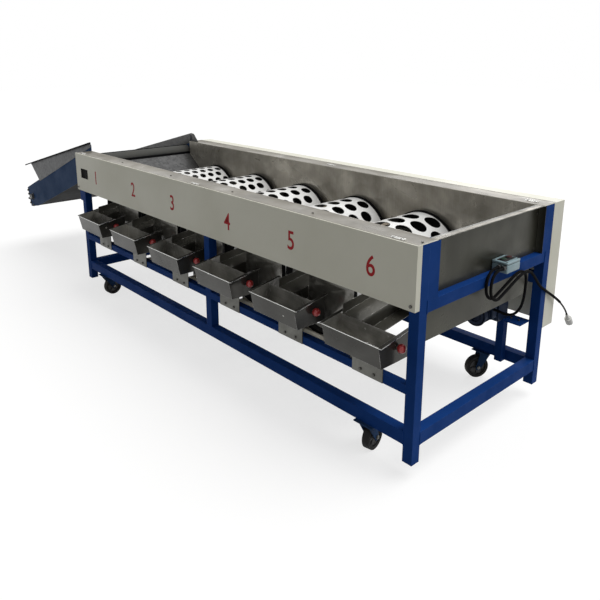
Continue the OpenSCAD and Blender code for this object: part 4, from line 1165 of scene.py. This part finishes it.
@dataclass
class CasterDress:
    """Tyres, hubs and axle nuts of the four swivel casters."""

    places: tuple[Point, ...] = (
        (-265.0, 55.0, -80.0), (-305.0, 1064.0, 60.0), (-2863.0, 55.0, -85.0), (-2863.0, 1064.0, -120.0),
    )
    trail: float = 40.0
    axle_z: float = -13.8
    wheel: float = 0.0625
    width: float = 0.036
    rim: float = 0.0465
    web: float = 0.021
    hub: float = 0.0141
    hub_width: float = 0.042
    bore: float = 0.0061
    fork_out: float = 25.5
    groove: tuple[float, float] = (0.0045, -0.0014)
    shoulder: float = 0.0046
    pockets: int = 5
    spoke: float = 0.13
    pocket_rim: float = 0.0042
    pocket_deep: float = 0.006
    nut_long: float = 0.0055
    nut_radius: float = 0.0105
    nut_face: tuple[float, float] = (0.0022, 0.0018)
    nut_edge: float = 0.0007

    def build(self) -> None:
        """Model one wheel at the origin and set a copy in each fork."""
        tyre, hub, nuts = self._tyre(), self._hub(), self._nuts()
        for i, (x, y, turn) in enumerate(self.places, start=1):
            angle = Matrix.Rotation(math.radians(turn), 4, "Z")
            centre = at(x, y, self.axle_z) + angle @ (RIGHT * -self.trail * MM)
            place = Matrix.Translation(centre) @ angle
            wheel, fork = f"caster_wheel_{i}", f"caster_fork_{i}"
            made = []
            for source, name in ((tyre, "tyre"), (hub, "hub"), (nuts, "axle_nuts")):
                made.append(Bench.copy(source, f"caster_{name}_{i}", Vector()))
                made[-1].data.transform(place)
            Bench.finish(made[0], "tyre_dark", wheel)
            Bench.finish(made[1], "hub_grey", wheel, slot="tyre_dark")
            Bench.finish(made[2], "zinc", fork)
            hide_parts(wheel)
        Bench.drop(tyre, hub, nuts)

    def _tyre(self) -> Obj:
        """Mould the tyre with rounded shoulders and a groove on each flank.

        Returns:
            The tyre, about the origin.
        """
        tyre = Bench.ring("tyre", self.wheel, self.width, self.wheel - self.rim, 56)
        for side in (FRONT, -FRONT):
            Bench.step(tyre, side, *self.groove)
        return Bench.round_edges(tyre, self.shoulder, 3, STEEP_ANGLE)

    def _hub(self) -> Obj:
        """Mould the web with five pockets and the raised hub.

        Returns:
            The hub, about the origin.
        """
        web = Bench.ring("web", self.rim, self.web, self.rim - self.bore, 40)
        for side in (FRONT, -FRONT):
            Bench.pick(web, lambda face: face.normal.dot(side) > FLAT and self._in_pocket(face))
            bpy.ops.mesh.inset(thickness=self.pocket_rim, use_boundary=True)
            bpy.ops.mesh.extrude_region_move(TRANSFORM_OT_translate={"value": tuple(side * -self.pocket_deep)})
            Bench.leave()
        Bench.round_edges(web, SMALL_EDGE, 2, MEDIUM_ANGLE)
        boss = Bench.ring("boss", self.hub, self.hub_width, self.hub - self.bore, 32)
        Bench.round_edges(boss, FULL_EDGE, 2, MEDIUM_ANGLE)
        return Bench.join("hub", [web, boss])

    def _in_pocket(self, face: bmesh.types.BMFace) -> bool:
        """Say whether a face of the web lies in one of the pockets.

        Args:
            face: A face of the web.

        Returns:
            Whether it lies in a pocket.
        """
        middle = face.calc_center_median()
        share = math.atan2(middle.z, middle.x) / math.tau * self.pockets
        return self.spoke < share - math.floor(share) < 1.0 - self.spoke

    def _nuts(self) -> Obj:
        """Make the lock nuts at both ends of the axle.

        Returns:
            Both nuts, about the origin.
        """
        nuts = []
        for side in (FRONT, -FRONT):
            start = side * self.fork_out * MM
            nut = Bench.rod("nut", start, start + side * self.nut_long, self.nut_radius, 6)
            Bench.step(nut, side, *self.nut_face)
            nuts.append(Bench.round_edges(nut, self.nut_edge))
        return Bench.join("nuts", nuts)


@dataclass
class SwitchBoxDress:
    """Moulded case, lid screws and bezels of the switch box."""

    low: Point = (-35.0, 600.0, 726.0)
    high: Point = (45.0, 712.0, 778.0)
    split: float = 766.0
    buttons: tuple[tuple[float, float], ...] = ((5.0, 633.6), (5.0, 678.4))
    plate: tuple[float, float, float, float] = (-17.0, 612.0, 27.0, 700.0)
    plate_z: tuple[float, float] = (-0.4, 2.2)
    plate_rim: tuple[float, float] = (0.0032, -0.0008)
    plate_edge: float = 0.0014
    case_in: float = 0.5
    case_gap: float = 1.2
    case_edge: float = 0.005
    hollow: tuple[float, float] = (0.003, -0.033)
    seal_in: float = 3.0
    seal_z: tuple[float, float] = (-4.0, 2.0)
    seal_wall: float = 0.004
    lid_rim: float = 0.010
    lid_edge: float = 0.0042
    bezel_z: tuple[float, float] = (-1.0, 4.5)
    bezel: tuple[float, float] = (0.0178, 0.0051)
    screw_in: float = 9.0
    screw_sunk: float = 1.0
    screw: tuple[float, float] = (0.0022, 0.0038)
    screw_face: tuple[float, float] = (0.0012, -0.0006)

    def build(self) -> None:
        """Mould the case and lid, and fit screws and bezels."""
        x0, y0, z0 = self.low
        x1, y1, z1 = self.high
        d = self.case_in
        case = Bench.box("switch_case", at(x0 + d, y0 + d, z0), at(x1 - d, y1 - d, self.split - self.case_gap))
        Bench.round_edges(case, self.case_edge, 4)
        Bench.step(case, UP, *self.hollow)
        d, (low, high) = self.seal_in, (self.split + z for z in self.seal_z)
        seal = Bench.box("switch_seal", at(x0 + d, y0 + d, low), at(x1 - d, y1 - d, high))
        Bench.hollow(seal, UP, self.seal_wall)
        Bench.round_edges(seal, SMALL_EDGE)
        lid = Bench.box("switch_lid", at(x0, y0, self.split), at(x1, y1, z1))
        Bench.step(lid, UP, self.lid_rim, 0.0)
        Bench.round_edges(lid, self.lid_edge, 4, STEEP_ANGLE)
        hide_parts("switch_box")
        Bench.finish(case, "box_green")
        Bench.finish(lid, "box_green")
        Bench.finish(seal, "black_plastic")
        self._screws()
        xa, ya, xb, yb = self.plate
        plate = Bench.box("button_frame", at(xa, ya, z1 + self.plate_z[0]), at(xb, yb, z1 + self.plate_z[1]))
        Bench.step(plate, UP, *self.plate_rim)
        Bench.round_edges(plate, self.plate_edge, 3)
        Bench.finish(plate, "black_plastic")
        for i, (x, y) in enumerate(self.buttons, start=1):
            ends = (at(x, y, z1 + z) for z in self.bezel_z)
            ring = Bench.rod(f"button_bezel_{i}", *ends, self.bezel[0], 40)
            Bench.hollow(ring, UP, self.bezel[1])
            Bench.round_edges(ring, FULL_EDGE, 3, STEEP_ANGLE)
            Bench.finish(ring, "black_plastic")

    def _screws(self) -> None:
        """Fit the four lid screws in the corners."""
        long, wide = (high - low - 2.0 * self.screw_in for low, high in zip(self.low[:2], self.high[:2]))
        first = at(self.low[0] + self.screw_in, self.low[1] + self.screw_in, self.high[2] - self.screw_sunk)
        screw = Bench.rod("lid_screw_1", first, first + UP * self.screw[0], self.screw[1], 20)
        Bench.step(screw, UP, *self.screw_face)
        Bench.round_edges(screw, THIN_EDGE, 2, STEEP_ANGLE)
        for i, (dx, dy) in enumerate(((long, 0.0), (0.0, wide), (long, wide)), start=2):
            Bench.finish(Bench.copy(screw, f"lid_screw_{i}", Vector((dx, dy, 0.0)) * MM), "zinc")
        Bench.finish(screw, "zinc")


@dataclass
class FrameDress:
    """Weld beads where the rails meet the legs."""

    bead: float = 0.0034
    pitch: float = 0.0045
    ripples: int = 13
    leg_x: tuple[float, float] = (-3078.0, -50.0)
    leg_y: tuple[float, float] = (80.0, 1039.0)
    side_x: tuple[float, float] = (-3128.0, 0.0)
    side_y: tuple[float, float] = (30.0, 1089.0)
    seam_z: tuple[float, float] = (110.0, 701.0)

    def build(self) -> None:
        """Lay one bead and copy it to every seam."""
        bead = self._bead()
        places = [(x, y, self.seam_z[0]) for x in self.leg_x for y in self.side_y]
        places += [(x, y, z) for x in self.side_x for y in self.leg_y for z in self.seam_z]
        for i, place in enumerate(places, start=1):
            Bench.finish(Bench.copy(bead, f"weld_bead_{i}", at(*place)), "blue_paint", smooth=ROUND_SMOOTH)
        Bench.drop(bead)

    def _bead(self) -> Obj:
        """Lay one upright bead of overlapping ripples about the origin.

        Returns:
            The bead.
        """
        Bench.clear()
        start = -self.pitch * (self.ripples - 1) / 2.0
        bpy.ops.mesh.primitive_uv_sphere_add(segments=10, ring_count=6, radius=self.bead, location=UP * start)
        bead = Bench.settle("weld")
        Bench.modify(bead, "ARRAY", count=self.ripples, use_relative_offset=False, use_constant_offset=True,
                     constant_offset_displace=UP * self.pitch)
        return bead


@dataclass
class RimDress:
    """Stainless strips, hinges and the rear guard wing on the trough's rim."""

    # The third strip stops short of the end plate's outer flange, whose dark finish there is painted shade.
    strips: tuple[tuple[float, float, float, float], ...] = (
        (-3126.0, 8.0, -3.0, 129.0), (-3126.0, 985.0, -3.0, 1098.0), (-27.0, 131.0, -3.0, 983.0),
    )
    strip_rim: tuple[float, float] = (0.004, -0.0003)
    seam: tuple[float, float, float, float] = (-3126.0, 1099.0, -3.0, 1103.0)
    seam_rim: tuple[float, float] = (0.001, -0.0004)
    seam_sunk: float = 0.2
    top: float = 970.0
    sheet: float = 0.8
    hinge: tuple[float, float] = (64.0, 22.0)
    hinges: tuple[tuple[float, float], ...] = (
        (-118.0, 27.0), (-1569.0, 27.0), (-3040.0, 27.0), (-1508.0, 1040.0), (-95.0, 1040.0),
    )
    leaf_z: tuple[float, float] = (-0.0002, 0.0014)
    leaf_rim: tuple[float, float] = (0.002, 0.0004)
    knuckles: int = 5
    knuckle_z: float = 0.0022
    knuckle_gap: float = 0.0006
    knuckle_radius: float = 0.0028
    head_spots: tuple[float, float] = (0.62, 0.66)
    head_z: tuple[float, float] = (0.0012, 0.0034)
    head_radius: float = 0.0033
    head_slot: tuple[float, float] = (0.0012, -0.0008)
    wing: tuple[tuple[float, float], ...] = ((-3133.0, 1028.0), (-3089.0, 1034.0), (-2969.0, 1013.0))
    wing_y: tuple[float, float] = (1004.0, 1006.0)
    stile: tuple[float, float, float, float] = (-37.0, 0.0, 727.0, 968.0)
    stile_y: float = 1006.0
    stile_sheet: float = 1.0
    stile_rim: tuple[float, float] = (0.003, -0.0003)

    def build(self) -> None:
        """Lay the strips, screw on the hinges and stand the trim and the wing."""
        over = self.top + self.sheet
        for i, (x0, y0, x1, y1) in enumerate(self.strips, start=1):
            strip = Bench.box(f"rim_strip_{i}", at(x0, y0, self.top), at(x1, y1, over))
            Bench.step(strip, UP, *self.strip_rim)
            Bench.round_edges(strip, FINE_EDGE)
            Bench.finish(strip, "steel_flange", slot="stainless")
        x0, y0, x1, y1 = self.seam
        seam = Bench.box("rear_seam", at(x0, y0, self.top - self.seam_sunk), at(x1, y1, over))
        Bench.step(seam, UP, *self.seam_rim)
        Bench.finish(seam, "bolt_dark", slot="black_plastic")
        leaf, screws = self._hinge()
        for i, (x, y) in enumerate(self.hinges, start=1):
            place = at(x, y, over)
            Bench.finish(Bench.copy(leaf, f"rim_hinge_{i}", place), "steel_edge", slot="zinc")
            Bench.finish(Bench.copy(screws, f"hinge_screws_{i}", place), "bolt_dark", slot="zinc")
        Bench.drop(leaf, screws)
        x0, x1, z0, z1 = self.stile
        trim = Bench.box("end_trim", at(x0, self.stile_y - self.stile_sheet, z0), at(x1, self.stile_y, z1))
        Bench.step(trim, FRONT, *self.stile_rim)
        Bench.round_edges(trim, FINE_EDGE)
        # The trim's dark finish is painted shade beside the leg.
        Bench.finish(trim, "steel_end_painted_shade", slot="stainless")
        self._wing()

    def _hinge(self) -> tuple[Obj, Obj]:
        """Make one hinge and its four screws about the origin.

        Returns:
            The hinge and its screws.
        """
        half_x, half_y = (value / 2000.0 for value in self.hinge)
        low, high = self.leaf_z
        leaf = Bench.box("leaf", Vector((-half_x, -half_y, low)), Vector((half_x, half_y, high)))
        Bench.step(leaf, UP, *self.leaf_rim)
        parts = [Bench.round_edges(leaf, THIN_EDGE)]
        pitch = 2.0 * half_x / self.knuckles
        for i in range(self.knuckles):
            start = Vector((-half_x + pitch * i + self.knuckle_gap, 0.0, self.knuckle_z))
            end = start + RIGHT * (pitch - 2.0 * self.knuckle_gap)
            knuckle = Bench.rod("knuckle", start, end, self.knuckle_radius, 16)
            parts.append(Bench.round_edges(knuckle, THIN_EDGE))
        heads = []
        side_x, side_y = half_x * self.head_spots[0], half_y * self.head_spots[1]
        for x in (-side_x, side_x):
            for y in (-side_y, side_y):
                head = Bench.rod("head", *(Vector((x, y, z)) for z in self.head_z), self.head_radius, 16)
                Bench.step(head, UP, *self.head_slot)
                heads.append(Bench.round_edges(head, THIN_EDGE, 2, STEEP_ANGLE))
        return Bench.join("hinge", parts), Bench.join("screws", heads)

    def _wing(self) -> None:
        """Cut the chamfered sheet that carries the rear flare on over the rim."""
        y0, y1 = self.wing_y
        wing = Bench.box("flare_wing", at(self.wing[0][0], y0, self.top + self.sheet),
                         at(self.wing[2][0], y1, self.wing[1][1]))
        for (xa, za), (xb, zb) in zip(self.wing, self.wing[1:]):
            Bench.cut(wing, at(xa, 0.0, za), (za - zb, 0.0, xb - xa))
        Bench.round_edges(wing, THIN_EDGE)
        Bench.finish(wing, "grey_sheet")


@dataclass
class FeedDress:
    """Liners, black strips, take-up screws and bolt heads of the feed; the strip on the flare's lip and the one in
    the belt's gap are painted shade.
    """

    tail: tuple[float, float] = (-4479.0, 398.5)
    slope: float = 20.6
    near: float = 126.0
    far: float = 1004.0
    bolts: tuple[tuple[float, float], ...] = ((-80.0, 78.0), (-82.0, 42.0), (-84.0, -42.0), (-30.0, -78.0))
    washer: tuple[float, float] = (0.0022, 0.0125)
    head: tuple[float, float] = (0.0095, 0.0092)
    head_face: tuple[float, float] = (0.0020, 0.0010)
    bolt_edge: float = 0.0006
    plate: float = 4.0
    liner: tuple[float, float] = (53.0, 104.0)
    liner_x: tuple[float, float] = (-4380.0, -3133.0)
    liner_z: tuple[float, float] = (300.0, 1060.0)
    liner_sheet: float = 1.2
    liner_edge: float = 0.0004
    screw_u: tuple[float, float] = (-86.0, -36.0)
    screw_out: float = 9.0
    screw_radius: float = 0.005
    screw_valley: float = 0.84
    threads: int = 40
    nuts: tuple[tuple[float, ...], ...] = ((-84.0, 0.0105, 8.0), (-62.0, 0.0105, 8.0), (-74.0, 0.0090, 14.0))
    # Black strip on the near flare's lip: painted shade on the fold, carried a little past the flare's low end.
    edging: tuple[tuple[float, float], ...] = ((-4552.0, 690.0), (-3133.0, 1034.8))
    edging_y: tuple[float, float] = (108.8, 111.2)
    edging_drop: float = 10.0
    # Two black strips at the belt's head: the first stands for a cleat, the second is painted shade in the gap
    # between belt and infeed plate.
    wipers: tuple[tuple[float, ...], ...] = ((-3208.0, -3198.0, 929.0, 936.0), (-3140.0, -3131.0, 868.0, 886.0))
    wiper_y: tuple[float, float] = (138.0, 992.0)
    wiper_edge: float = 0.0022

    def build(self) -> None:
        """Fit both sides of the feed, the black strip on the flare's lip and the two black strips at the belt's head.
        """
        for name, face, way in (("near", self.near, FRONT), ("far", self.far, -FRONT)):
            heads = []
            for u, v in self.bolts:
                foot = self._at(u, face, v)
                washer = Bench.rod("washer", foot, foot + way * self.washer[0], self.washer[1], 24)
                head = Bench.rod("head", foot, foot + way * self.head[0], self.head[1], 6)
                Bench.step(head, way, *self.head_face)
                heads += [Bench.round_edges(part, self.bolt_edge) for part in (washer, head)]
            Bench.finish(Bench.join(f"tail_bolts_{name}", heads), "bolt_dark", slot="cast_housing")
            self._take_up(name, face + way.y * self.screw_out)
            self._line(name, face - way.y * self.plate, way.y)
        self._edging()
        # The second strip is painted shade in the gap between belt and infeed plate.
        for i, (x0, x1, z0, z1) in enumerate(self.wipers, start=1):
            strip = Bench.box(f"feed_cleat_and_gap_shade_{i}", at(x0, self.wiper_y[0], z0), at(x1, self.wiper_y[1], z1))
            Bench.round_edges(strip, self.wiper_edge, 3)
            Bench.finish(strip, "cable_black")

    def _edging(self) -> None:
        """Lay a black strip on the near flare's fold, a little past its low end; its black is painted shade on the
        fold, and it carries the flare's edge further.
        """
        (x0, z0), (x1, z1) = self.edging
        y0, y1 = self.edging_y
        start, end = at(x0, y0, z0), at(x1, y0, z1)
        strip = Bench.box("flare_lip_shade_strip", UP * (-self.edging_drop * MM),
                          Vector(((end - start).length, (y1 - y0) * MM, 0.0)))
        Bench.round_edges(strip, SMALL_EDGE)
        turn = Matrix.Rotation(-math.atan2(end.z - start.z, end.x - start.x), 4, "Y")
        strip.data.transform(Matrix.Translation(start) @ turn)
        Bench.finish(strip, "cable_black")

    def _line(self, name: str, y: float, way: float) -> None:
        """Cut the galvanised liner inside one side plate, over the belt.

        Args:
            name: The side's name.
            y: The plate's inner face.
            way: Which way the side looks along Y.
        """
        x0, x1 = self.liner_x
        z0, z1 = self.liner_z
        y0, y1 = sorted((y, y - way * self.liner_sheet))
        liner = Bench.box(f"feed_liner_{name}", at(x0, y0, z0), at(x1, y1, z1))
        for height, up in zip(self.liner, (-1.0, 1.0)):
            foot, head = self._at(0.0, y, height), self._at(100.0, y, height)
            Bench.cut(liner, foot, (up * (foot.z - head.z), 0.0, up * (head.x - foot.x)))
        Bench.round_edges(liner, self.liner_edge)
        Bench.finish(liner, "grey_sheet")

    def _at(self, u: float, y: float, v: float) -> Vector:
        """Place a point given along and across the feed's slope.

        Args:
            u: Distance up the slope from the tail axis.
            y: Distance behind the panel's face.
            v: Height over the belt's middle line.

        Returns:
            The point in the row frame.
        """
        turn = math.radians(self.slope)
        x, z = self.tail
        return at(x + u * math.cos(turn) - v * math.sin(turn), y, z + u * math.sin(turn) + v * math.cos(turn))

    def _take_up(self, name: str, y: float) -> None:
        """Fit the take-up screw that pulls the tail bearing.

        Args:
            name: The side's name.
            y: The screw's middle.
        """
        u0, u1 = self.screw_u
        count = self.threads + 1
        line = [self._at(u0 + (u1 - u0) * i / self.threads, y, 0.0) for i in range(count)]
        shares = [1.0 if i % 2 else self.screw_valley for i in range(count)]
        screw = sweep(f"take_up_screw_{name}", line, self.screw_radius, shares)
        Bench.finish(screw, "steel_edge", slot="zinc", smooth=RIB_SMOOTH)
        parts = []
        for u, radius, depth in self.nuts:
            part = Bench.rod("nut", self._at(u, y, 0.0), self._at(u + depth, y, 0.0), radius, 6)
            parts.append(Bench.round_edges(part, SMALL_EDGE))
        Bench.finish(Bench.join(f"take_up_nuts_{name}", parts), "bolt_dark", slot="cast_housing")


@dataclass
class DrumDress:
    """Black bands at the rear end of the five drums, and sheets beside the slides at their mouths."""

    count: int = 5
    width: float = 0.010
    proud: float = 0.0015
    bite: float = 0.0004
    band_edge: float = 0.0006
    sides: int = 96
    mouth_low: Point = (-61.0, 130.6, 432.0)
    mouth_high: Point = (240.0, 131.6, 730.0)
    corner: float = 90.0

    def build(self) -> None:
        """Turn one band and press a copy on each drum, and set the sheets."""
        low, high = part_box("drum_shell_1")
        radius = (high.x - low.x) / 2.0 + self.proud
        band = Bench.ring("band", radius, self.width, self.proud + self.bite, self.sides)
        Bench.round_edges(band, self.band_edge, 2, STEEP_ANGLE)
        for k in range(1, self.count + 1):
            low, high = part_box(f"drum_shell_{k}")
            place = Vector(((low.x + high.x) / 2.0, high.y - self.width / 2.0, (low.z + high.z) / 2.0))
            Bench.finish(Bench.copy(band, f"drum_band_{k}", place), "drum_black", f"drum_{k}")
            self._sheet(k, place.x)
        Bench.drop(band)

    def _sheet(self, k: int, axis: float) -> None:
        """Cut one sheet beside a slide.

        Args:
            k: The drum's number.
            axis: Where the drum's axis lies along X.
        """
        shift = RIGHT * (axis - at(0.0, 0.0, 0.0).x)
        low, high = at(*self.mouth_low) + shift, at(*self.mouth_high) + shift
        sheet = Bench.box(f"mouth_sheet_{k}", low, high)
        x, y, z = self.mouth_high[0] - self.corner, *self.mouth_low[1:]
        Bench.cut(sheet, at(x, y, z) + shift, (1.0, 0.0, -1.0))
        Bench.round_edges(sheet, FINE_EDGE)
        Bench.finish(sheet, "steel_slide", slot="stainless")


@dataclass
class DriveDress:
    """Fan cowl and terminal lid of the gear motor."""

    axis: tuple[float, float] = (-200.0, 408.0)
    cowl: tuple[float, float] = (770.0, 795.0)
    cowl_radius: float = 0.0562
    cowl_edge: float = 0.0015
    cowl_steps: tuple[tuple[float, float], ...] = ((0.010, 0.003), (0.006, -0.004), (0.010, 0.004), (0.006, -0.004))
    lid_rim: tuple[float, float] = (0.006, 0.0015)
    lid_low: Point = (-140.0, 822.0, 388.0)
    lid_high: Point = (-135.5, 862.0, 459.0)

    def build(self) -> None:
        """Press the cowl and screw down the terminal lid."""
        x, z = self.axis
        cowl = Bench.rod("fan_cowl", *(at(x, y, z) for y in self.cowl), self.cowl_radius, 48)
        for inset, depth in self.cowl_steps:
            Bench.step(cowl, FRONT, inset, depth)
        Bench.round_edges(cowl, self.cowl_edge, 2, MEDIUM_ANGLE)
        Bench.finish(cowl, "motor_blue")
        lid = Bench.box("terminal_lid", at(*self.lid_low), at(*self.lid_high))
        Bench.step(lid, RIGHT, *self.lid_rim)
        Bench.round_edges(lid, FULL_EDGE)
        Bench.finish(lid, "motor_blue")


@dataclass
class CadPaint:
    """Finishes of the CAD nodes that stay as they are."""

    own: tuple[tuple[str, str], ...] = (
        ("trough_walls", "steel_wall"), ("deck_plates", "steel_deck"), ("infeed_plate", "steel_infeed"),
        ("end_plates", "steel_end_painted_shade"), ("slides", "steel_slide"), ("frame_bolts", "bolt_dark"),
        *((f"tray_{k}", "steel_tray") for k in range(1, 7)),
    )

    def build(self) -> None:
        """Give each node its own finish, or else its slot's."""
        own = dict(self.own)
        for part in frame["record"]["subparts"]:
            name = part["node"]
            finish = own.get(name, part["material_slot"])
            node = frame["nodes"][name]
            node.data.materials.clear()
            node.data.materials.append(MATERIALS[finish])
            LOG.info("%s is finished in %s", name, finish)


SUBASSEMBLIES = (
    Studio(), CadPaint(), CableRun(), PanelDress(), TrayDress(), CasterDress(), SwitchBoxDress(), FrameDress(),
    RimDress(), FeedDress(), DrumDress(), DriveDress(),
)


def main() -> None:
    """Build every sub-assembly in order."""
    logging.basicConfig(level=logging.INFO, format="%(name)s: %(message)s")
    for part in SUBASSEMBLIES:
        LOG.info("building %s", type(part).__name__)
        part.build()


if __name__ == "__main__":
    main()
